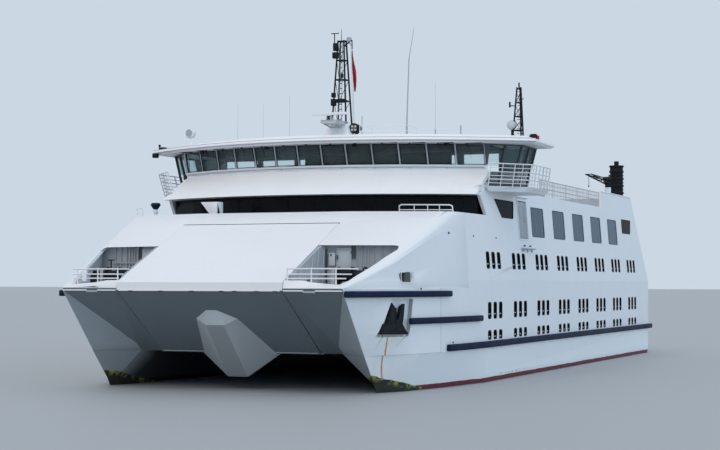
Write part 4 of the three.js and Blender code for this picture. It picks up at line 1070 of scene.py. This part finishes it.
def roofPipe(inset, z, radius):
    # Tube that follows the front edge of the roof
    points = [(x, roofLook["frontY"] + roofLook["sweep"] * (x / roofLook["half"]) ** 2 + inset, z)
              for x in roofLook["xs"]]
    return pipe(points, radius, 2)


gutter = [roofPipe(0.0, 14.83, 0.045), roofPipe(0.12, 15.02, 0.03)]
finish(gutter, "roof_gutter", greyPaint)
flood = [
    block((-13.34, -12.96), (18.5, 18.8), (14.5, 14.78), 0.04),
    rod((-13.15, 18.6, 14.7), (-13.15, 18.9, 14.85), 0.04),
    upright(-13.2, 19.3, 14.9, 15.35, 0.04), ball((-13.2, 19.3, 15.38), 0.09),
]
for x in roofLook["floodX"]:
    y = 14.6 + (x / roofLook["half"]) ** 2 * 4.8
    flood.append(block((x - 0.14, x + 0.14), (y, y + 0.15), (14.5, 14.7), 0.03))
finish(flood, "roof_floodlights", darkPaint)


def lampRod(near, far, radius, sides=24, x=0.0, z=0.0):
    # Rod along the axis of the roof lamp, or beside it by x and z
    x, z = roofLook["lampX"] + x, roofLook["lampZ"] + z
    return rod((x, near, z), (x, far, z), radius, sides)


lampParts = [
    lampRod(18.55, 19.1, 0.3), upright(roofLook["lampX"], 19, 15.3, 15.9, 0.1, 16),
    lampRod(18.52, 18.6, 0.33), upright(roofLook["lampX"], 19, 15.4, 15.5, 0.22, 16),
]
finish(lampParts, "roof_lamp", darkPaint)
finish(lampRod(18.49, 18.53, 0.22), "roof_lamp_face", framePaint, smooth=0)
# Pale discs on the lamp face: painted highlights
lampGlints = [lampRod(18.47, 18.5, 0.075, 12, x, z) for x in (-0.11, 0.11) for z in (-0.11, 0.11)]
finish(lampGlints, "roof_lamp_bulbs", palePaint, smooth=0)
roofRails = []
near, far = roofLook["railX"]
for y in (18.3, 20.6):
    roofRails.append(pipe([(near, y, 15.4), (near, y, 16.15), (far, y, 16.1), (far, y, 15.3)], 0.03))
    roofRails.append(rod((near, y, 15.8), (far, y, 15.75), 0.025))
    roofRails += [upright(3.0, y, 15.3, 16.13, 0.025), upright(4.1, y, 15.3, 16.1, 0.025)]
for x, z in ((near, 16.15), (far, 16.1), (near, 15.8), (far, 15.75)):
    roofRails.append(rod((x, 18.3, z), (x, 20.6, z), 0.025))
finish(roofRails, "roof_rail", whitePaint)
whips = [
    upright(4.96, 19, 15.3, 16.2, 0.07), rod((4.96, 19, 16.1), (5.11, 19, 20.45), 0.05, 8, 0.035),
    rod((5.11, 19, 20.4), (5.45, 19, 22.4), 0.03, 8, 0.014), upright(6.9, 19, 15.3, 15.8, 0.05),
    upright(8.6, 19, 15.2, 16.0, 0.05), upright(1.87, 19.0, 15.3, 16.84, 0.03),
]
finish(whips, "roof_whips", greyPaint)
aerials = ((-7.3, 19.4, 18.1), (-5.4, 19.4, 18.02), (-3.48, 19.4, 18.48), (6.9, 19, 18.8))
thin = [upright(x, y, 15.1, z, 0.018, 6, 0.008) for x, y, z in aerials]
finish(thin, "roof_aerials", palePaint)
boxes = [
    block((12.93, 13.4), (19.5, 19.9), (14.98, 15.3), 0.04),
    block((12.98, 13.35), (19.55, 19.85), (15.3, 15.36), 0.02),
]
finish(boxes, "sidelight_box_port", darkPaint)
lightLens = block((13.4, 13.5), (19.58, 19.86), (15.02, 15.26), 0.03)
finish(lightLens, "sidelight_lens_port", redCloth)
lightBox = block((-13.4, -12.93), (19.5, 19.9), (14.98, 15.3), 0.04)
finish(lightBox, "sidelight_box_starboard", darkPaint)
print("verandah, wheelhouse and roof done")

# Main mast: ladder, boxes, tray rim, aerials and the thin braces between its legs
mastLook = {
    "x": 0.5, "y": 18.9, "foot": 16.3, "top": 21.8, "half": 0.49, "tip": 0.2, "rungs": 15,
    "levels": (16.45, 17.85, 19.23, 20.5, 21.75), "trayX": (-0.05, 1.08), "trayY": (16.68, 18.62),
}


def mastPoint(sx, sy, z):
    share = (z - mastLook["foot"]) / (mastLook["top"] - mastLook["foot"])
    reach = mastLook["half"] + share * (mastLook["tip"] - mastLook["half"])
    return mastLook["x"] + sx * reach, mastLook["y"] + sy * reach, z


mastParts = [nodeCopy("main_mast")]
ladder = [rod((x, 18.5, 16.4), (x + (0.5 - x) * 0.35, 18.72, 21.6), 0.02, 6) for x in (0.36, 0.64)]
for k in range(mastLook["rungs"]):
    y, z = 18.51 + k * 0.014, 16.6 + k * 0.34
    ladder.append(rod((0.37 + k * 0.004, y, z), (0.63 - k * 0.004, y, z), 0.036, 6))
finish(ladder, "mast_ladder", dullPaint)
for low, high in zip(mastLook["levels"], mastLook["levels"][1:]):
    mastParts.append(rod(mastPoint(-1, 1, low), mastPoint(1, 1, high), 0.02, 4))
    mastParts.append(rod(mastPoint(-1, -1, high), mastPoint(-1, 1, low), 0.02, 4))
mastParts += [block(*row) for row in (
    ((0.02, 0.4), (18.35, 18.65), (20.6, 21.0), 0.03), ((0.05, 0.36), (18.4, 18.68), (21.1, 21.6), 0.03),
    ((-0.02, 0.3), (18.2, 18.5), (17.5, 17.95), 0.04), ((0.0, 0.26), (18.25, 18.5), (18.05, 18.35), 0.03),
    ((0.36, 0.9), (18.25, 18.45), (17.68, 17.94), 0.04),
)]
mastParts += [
    upright(0.75, 18.3, 19.3, 19.55, 0.1, 14), upright(0.09, 18.6, 21.6, 22.25, 0.035),
    rod((-0.14, 18.6, 22.25), (0.4, 18.6, 22.25), 0.03), upright(0.45, 18.9, 21.75, 22.55, 0.025, 8, 0.012),
    rod((0.75, 18.85, 21.4), (1.0, 18.88, 21.78), 0.02, 6),
    pipe([(0.81, 18.85, 21.62), (1.05, 18.88, 21.6), (1.22, 18.9, 21.4)], 0.02),
]
mastPiece = finish(mastParts, "main_mast_rig", [darkPaint, palePaint],
                   stands=["main_mast"])
trayEnd = (18.61 - ship["midships"]) * ship["scale"]
paintFaces(mastPiece, 1, lambda middle, normal: 8.1 < middle.z < 8.19 and middle.y < trayEnd)
aerial = [block((0.86, 1.14), (18.75, 19.0), (21.7, 22.0), 0.04)]
aerial.append(rod((0.2, 16.9, 16.37), (0.8, 17.2, 16.37), 0.02))
finish(aerial, "mast_top_box", greyPaint)
trayCorners = [at(x, y, 16.37) for x, y in rectangle(mastLook["trayX"], mastLook["trayY"])]
tray = [frameOf(trayCorners, 0.04, 0.06, 0.03)]
tray.append(pipe([(-0.05, 16.7, 16.3), (0.28, 17.6, 16.02), (1.0, 17.6, 16.02), (1.12, 16.7, 16.25)], 0.05))
finish(tray, "mast_tray_rim", greyPaint)
halyards = [rod((1.2, 18.9, 21.2), (1.38, 18.9, 15.9), 0.012, 6)]
halyards.append(rod((1.1, 18.9, 21.75), (1.3, 18.9, 15.9), 0.01, 6))
finish(halyards, "halyards", greyPaint)
scanner = nodeCopy("radar_scanner", 0.03, 3, 50)
finish(scanner, "radar_scanner_cover", whitePaint, "radar", ["radar_scanner"])
gearbox = [block((0.25, 0.62), (16.85, 17.2), (16.36, 16.68), 0.05)]
gearbox.append(upright(0.43, 17.0, 16.36, 16.69, 0.17, 16))
finish(gearbox, "radar_gearbox", greyPaint)

# Aft mast: braces, brackets and the pale dome beside it
aftMastLook = {
    "x": 11.36, "y": 22.7, "foot": 15.0, "high": 3.7, "half": 0.38, "tip": 0.13,
    "levels": (15.4, 16.3, 17.2, 18.1), "legs": ((-1, -1), (1, -1), (0, 1)),
}
aftPieces = [nodeCopy("aft_mast")]
for z in aftMastLook["levels"]:
    share = (z - aftMastLook["foot"]) / aftMastLook["high"]
    reach = aftMastLook["half"] + share * (aftMastLook["tip"] - aftMastLook["half"])
    x, y = aftMastLook["x"], aftMastLook["y"]
    corners = [(x + sx * reach, y + sy * reach) for sx, sy in aftMastLook["legs"]]
    for (x0, y0), (x1, y1) in zip(corners, corners[1:] + corners[:1]):
        aftPieces.append(rod((x0, y0, z - 0.35), (x1, y1, z + 0.35), 0.022, 4))
aftPieces += [
    upright(11.36, 22.6, 18.6, 19.0, 0.05, 12), rod((11.1, 22.5, 17.5), (10.8, 22.4, 17.5), 0.03, 6),
    upright(10.8, 22.4, 17.4, 17.75, 0.06, 12), rod((11.5, 22.4, 17.9), (11.75, 22.3, 17.9), 0.03, 6),
]
finish(aftPieces, "aft_mast_rig", darkPaint, stands=["aft_mast"])
aftRungs = []
for k in range(11):
    y, z = 22.36 + k * 0.02, 15.4 + k * 0.3
    aftRungs.append(rod((11.28, y, z), (11.46, y, z), 0.025, 6))
finish(aftRungs, "aft_mast_ladder", dullPaint)
finish(ball((10.9, 22.5, 16.25), 0.32, 14), "aft_dome", palePaint)

# Searchlight: yoke, cooling fins and lens
searchParts = [nodeCopy("searchlight", 0.02, 2, 50)]
searchParts += [rod((-9.7, y, 15.95), (-9.7, y + 0.03, 15.95), 0.3, 20) for y in (17.12, 17.24, 17.36)]
searchParts += [pipe([(-9.7, 17.3, 15.62), (x, 17.3, 15.7), (x, 17.3, 16.0)], 0.035) for x in (-10.05, -9.35)]
searchLens = rod((-9.7, 16.97, 15.95), (-9.7, 17.0, 15.95), 0.24, 24)
finish(searchLens, "searchlight_lens", greyPaint, "searchlight")
finish(searchParts, "searchlight_body", whitePaint, "searchlight", ["searchlight"])
print("masts done")

# Bridge wing platforms: rails that lean outwards
wingLine = ((10.95, 17.25), (12.1, 18.6), (12.88, 19.5), (13.0, 20.3), (13.0, 21.9), (13.0, 23.4))


def leant(place, z, sign):
    rise = (z - ship["sunDeck"]) * 0.22
    return (place[0] + rise) * sign, place[1] - rise, z


for side, sign in sides:
    wing = [nodeCopy("wing_platform_" + side)]
    for a, b in zip(wingLine, wingLine[1:]):
        wing += [rod(leant(a, z, sign), leant(b, z, sign), 0.022, 6) for z in (12.22, 12.67, 13.15)]
        middle = ((a[0] + b[0]) / 2, (a[1] + b[1]) / 2)
        wing.append(rod(leant(middle, ship["sunDeck"], sign), leant(middle, 13.4, sign), 0.025, 6))
    finish(wing, "wing_rail_" + side, whitePaint, stands=["wing_platform_" + side])

# Top deck rails: two bars and a fine mesh of uprights; aft of them the bulwark with its cap and stays
for side, sign in sides:
    railX = (sideHalf(30, ship["sunDeck"]) - 0.1) * sign
    fence = [nodeCopy("top_rail_" + side)]
    fence += [rod((railX, 30.1, z), (railX, 47.0, z), 0.024, 6) for z in (12.3, 12.9)]
    fence += [upright(railX, 30.1 + k * 0.42, 12.05, 13.17, 0.022, 4) for k in range(1, 40)]
    finish(fence, "top_fence_" + side, palePaint, stands=["top_rail_" + side])
    bulwark = [pipe([(railX, 47.7, 13.3), (railX, 58.1, 13.3)], 0.05)]
    bulwark += [upright(railX - 0.02 * sign, y, 12.05, 13.25, 0.035, 6) for y in range(48, 58, 2)]
    finish(bulwark, "aft_bulwark_cap_" + side, whitePaint)

# Bow rails: a ball where each bar meets a post
for side, sign in sides:
    bowRail = [nodeCopy("bow_rail_" + side)]
    for x in (5.18, 6.52, 7.89):
        bowRail += [ball((x * sign, 0.36 + (x - 5.18) * 0.08, z), 0.055, 6) for z in (6.27, 6.5, 6.79)]
    finish(bowRail, "bow_rail_bars_" + side, whitePaint, stands=["bow_rail_" + side])

# Stack: ribs, exhaust and a pipe beside it
stackLook = {"x": 9.75, "y": 56.9, "ribs": 11, "ribFoot": 12.4, "ribPitch": 0.3, "ribRadius": 0.6}
stackParts = [nodeCopy("stack", 0.02, 2, 50)]
for k in range(stackLook["ribs"]):
    z = stackLook["ribFoot"] + k * stackLook["ribPitch"]
    stackParts.append(upright(stackLook["x"], stackLook["y"], z, z + 0.06, stackLook["ribRadius"], 28))
stackParts.append(upright(stackLook["x"], stackLook["y"], 15.9, 16.35, 0.2, 20))
stackParts.append(upright(9.2, 56.5, 12.1, 15.2, 0.05))
finish(stackParts, "stack_casing", darkPaint, stands=["stack"])

# Crane: lattice braces, fall with its hook block, and the foot and rungs of its post
craneLook = {
    "x": 9.6, "y": 54.4, "post": 14.0, "reach": 6.6, "rise": 0.4, "hookShare": 0.98, "bolts": 8, "ring": 0.36,
}


def boomPoint(side, share, up):
    z = craneLook["post"] + 0.3 + share * craneLook["rise"] + up * (1 - share) * 0.35
    return craneLook["x"] + side * 0.24, craneLook["y"] - share * craneLook["reach"], z


boom = [nodeCopy("crane_boom")]
for side in (-1, 1):
    for k in range(8):
        near, far = (boomPoint(side, step * 0.12, step % 2) for step in (k, k + 1))
        boom.append(rod(near, far, 0.022, 6))
hook = boomPoint(0, craneLook["hookShare"], 0)
boom.append(rod(hook, (hook[0], hook[1], 13.8), 0.02, 6))
boom.append(block((9.56, 9.64), (47.88, 47.96), (13.68, 13.82), 0.01))
boom.append(rod((9.3, 54.2, 14.75), (9.9, 54.2, 14.75), 0.14, 16))
finish(boom, "crane_boom_lattice", darkPaint, "crane", ["crane_boom"])
post = [nodeCopy("crane_post", 0.02, 2, 50)]
for k in range(craneLook["bolts"]):
    turn = k * 2 * math.pi / craneLook["bolts"]
    x = craneLook["x"] + craneLook["ring"] * math.cos(turn)
    y = craneLook["y"] + craneLook["ring"] * math.sin(turn)
    post.append(upright(x, y, 12.2, 12.28, 0.04, 6))
post += [rod((9.32, 54.2, 12.3 + k * 0.3), (9.32, 54.6, 12.3 + k * 0.3), 0.025, 6) for k in range(5)]
finish(post, "crane_post_column", whitePaint, stands=["crane_post"])
print("deck gear done")

# Stern: ribs of the ramp, windows of the sloping aft wall, fenders and bitts
sternLook = {
    "foot": (62.66, 6.2), "top": (58.2, 13.28), "windowRows": ((9.2, 6), (11.0, 6), (7.0, 4)),
    "windowPitch": 2.9, "windowHalf": 0.8, "windowHigh": 0.9, "fenderZ": (3.4, 4.6, 5.8),
    "rampRibs": (-3.6, -2.4, -1.2, 0, 1.2, 2.4, 3.6), "bittX": (8.6, 9.2), "bittY": 61.3,
}
rampParts = [nodeCopy("stern_ramp", 0.01, 1, 50)]
rampParts += [block((x - 0.06, x + 0.06), (62.62, 62.72), (3.2, 5.75), 0.02) for x in sternLook["rampRibs"]]
rampParts += [block((-4.2, 4.2), (62.62, 62.7), (z, z + 0.1), 0.02) for z in (3.3, 4.5, 5.6)]
finish(rampParts, "stern_ramp_plate", greyPaint, "stern_ramp", ["stern_ramp"])


def aftPlace(x, z, out=0.0):
    (footY, footZ), (topY, topZ) = sternLook["foot"], sternLook["top"]
    return at(x, footY - (z - footZ) * (footY - topY) / (topZ - footZ) + out, z)


aftRims, aftPanes = [], []
for row, count in sternLook["windowRows"]:
    for k in range(count):
        x = (k - (count - 1) / 2) * sternLook["windowPitch"]
        half, top = sternLook["windowHalf"], row + sternLook["windowHigh"]
        outline = rectangle((x + half, x - half), (row, top))
        aftPanes.append(roundedPlate([aftPlace(x, z, 0.004) for x, z in outline], 0.12))
        aftRims.append(frameOf([aftPlace(x, z) for x, z in outline], 0.06, 0.03, 0.12))
finish(aftRims, "aft_window_rims", whitePaint, smooth=0)
finish(aftPanes, "aft_window_panes", sideGlass, smooth=0)
for side, sign in sides:
    fenders = [rod((10.2 * sign, 62.7, z), (7.2 * sign, 62.7, z), 0.14, 12) for z in sternLook["fenderZ"]]
    finish(fenders, "stern_fenders_" + side, navyFender)
    bitts = []
    for x in sternLook["bittX"]:
        bitts.append(upright(x * sign, sternLook["bittY"], 6.2, 6.75, 0.13, 14))
        bitts.append(upright(x * sign, sternLook["bittY"], 6.75, 6.8, 0.18, 14))
    finish(bitts, "stern_bitts_" + side, darkPaint)

# Sun deck: seats, vents and the casing over the stairs
deckLook = {
    "seatX": (2.2, 6.8), "firstY": 27.5, "rowPitch": 3.4, "rows": 6, "legX": (2.4, 4.45, 6.5), "ventY": 55.0,
}
floorZ = ship["sunDeck"]
seats = []
for row in range(deckLook["rows"]):
    y = deckLook["firstY"] + row * deckLook["rowPitch"]
    for side, sign in sides:
        width = sorted(x * sign for x in deckLook["seatX"])
        seats.append(block(width, (y, y + 0.5), (12.4, 12.47), 0.02))
        seats.append(block(width, (y + 0.48, y + 0.55), (12.45, 12.95), 0.02))
        for x in deckLook["legX"]:
            leg = sorted((x * sign, (x + 0.08) * sign))
            seats.append(block(leg, (y + 0.05, y + 0.5), (floorZ, 12.42)))
finish(seats, "deck_seats", greyPaint, smooth=0)
hatches = [
    block((-1.6, 1.6), (48.0, 52.0), (floorZ, 14.1), 0.1),
    block((-1.75, 1.75), (47.85, 52.15), (14.1, 14.2), 0.04),
    block((-0.5, 0.5), (47.95, 48.02), (12.1, 13.9), 0.03),
]
for x in (-7, -3.5, 3.5):
    hatches.append(upright(x, deckLook["ventY"], floorZ, 12.8, 0.25, 18))
    hatches.append(upright(x, deckLook["ventY"], 12.8, 13.05, 0.42, 18, 0.3))
finish(hatches, "deck_casing", whitePaint)

# Waterjets: steering arms on the nozzles
jetLook = {"x": 8.9, "y": (63.1, 63.22), "z": -0.85, "reach": 0.6, "radius": 0.09}
for side, sign in sides:
    nozzle = [nodeCopy("jet_nozzle_" + side, 0.02, 2, 50)]
    for z in (jetLook["z"] - jetLook["reach"], jetLook["z"] + jetLook["reach"]):
        nozzle.append(rod(*((jetLook["x"] * sign, y, z) for y in jetLook["y"]), jetLook["radius"]))
    finish(nozzle, "jet_nozzle_rings_" + side, bareSteel,
           "nozzle_" + side, ["jet_nozzle_" + side])
print("stern and decks done")

# Flag: a sheet gathered in folds along its halyard, inside the narrow shape of its solid
flagLook = {
    "y": 18.9, "fold": 0.066, "folds": 3.5, "columns": 84, "rows": 60, "top": 21.14, "foot": 18.44,
    "left": ((18.38, 1.39), (18.8, 1.31), (19.6, 1.24), (20.3, 1.19), (20.75, 1.16), (21.2, 1.185)),
    "right": ((18.38, 1.43), (18.8, 1.49), (19.3, 1.51), (19.75, 1.48), (20.3, 1.35), (20.75, 1.26),
              (21.2, 1.215)),
}


def readLine(rows, z):
    for (z0, x0), (z1, x1) in zip(rows, rows[1:]):
        if z <= z1:
            return x0 + (x1 - x0) * (z - z0) / (z1 - z0)
    return rows[-1][1]


def makeFlag():
    clearSelection()
    bpy.ops.mesh.primitive_grid_add(
        x_subdivisions=flagLook["columns"], y_subdivisions=flagLook["rows"], size=1
    )
    sheet = bpy.context.object
    for vertex in sheet.data.vertices:
        across, up = vertex.co.x + 0.5, vertex.co.y + 0.5
        z = flagLook["foot"] + up * (flagLook["top"] - flagLook["foot"])
        left, right = readLine(flagLook["left"], z), readLine(flagLook["right"], z)
        turn = across * flagLook["folds"] * 2 * math.pi + 0.5 * math.sin(3.1 * z)
        fold = flagLook["fold"] * (0.55 + 0.45 * (1 - up))
        x = left + (right - left) * (across + 0.03 * math.sin(2 * turn))
        vertex.co = at(x, flagLook["y"] + fold * math.sin(turn), z + 0.012 * math.sin(turn + 1))
    finish(sheet, "flag_cloth", redCloth, stands=["flag"], smooth=80)


makeFlag()
print("flag done")

# Floor at the waterline, light and camera
light = {"sky": (0.663, 0.762, 0.861), "skyStrength": 0.9, "floor": (0.38, 0.4, 0.42)}
lamps = (
    {"name": "ahead", "colour": (1, 0.82, 0.69), "power": 0.95, "soft": 40, "turn": (40, 0, 0)},
    {"name": "port", "colour": (0.46, 0.76, 1), "power": 0.72, "soft": 60, "turn": (75, 0, 70)},
)


def makeStage():
    bpy.ops.mesh.primitive_plane_add(size=1400, location=(0, 0, 0))
    floor = bpy.context.object
    floor.name = "floor"
    material, tree, shader, coords = newMaterial("paleFloor", light["floor"], 0.6)
    floor.data.materials.append(material)
    world = bpy.data.worlds.new("studio")
    bpy.context.scene.world = world
    world.use_nodes = True
    background = world.node_tree.nodes["Background"]
    background.inputs["Color"].default_value = (*light["sky"], 1)
    background.inputs["Strength"].default_value = light["skyStrength"]
    for row in lamps:
        turn = [math.radians(angle) for angle in row["turn"]]
        bpy.ops.object.light_add(type="SUN", rotation=turn)
        lamp = bpy.context.object
        lamp.name = "light_" + row["name"]
        lamp.data.color = row["colour"]
        lamp.data.energy = row["power"]
        lamp.data.angle = math.radians(row["soft"])


makeStage()

lens = {
    "place": (40.966, -77.277, 6.093), "right": (0.92612, 0.37722, 0.00218),
    "up": (0.01134, -0.03362, 0.99937), "ahead": (-0.37706, 0.92551, 0.03541),
    "sensor": 36, "focal": 80.44,
}


def makeCamera():
    bpy.ops.object.camera_add()
    camera = bpy.context.object
    camera.data.sensor_width = lens["sensor"]
    camera.data.lens = lens["focal"]
    camera.data.clip_start = 0.5
    camera.data.clip_end = 3000
    turn = Matrix((lens["right"], lens["up"], [-part for part in lens["ahead"]])).transposed()
    camera.matrix_world = Matrix.Translation(at(*lens["place"])) @ turn.to_4x4()
    bpy.context.scene.camera = camera


makeCamera()
bpy.context.scene.view_settings.view_transform = "Standard"
print("stage and camera set")
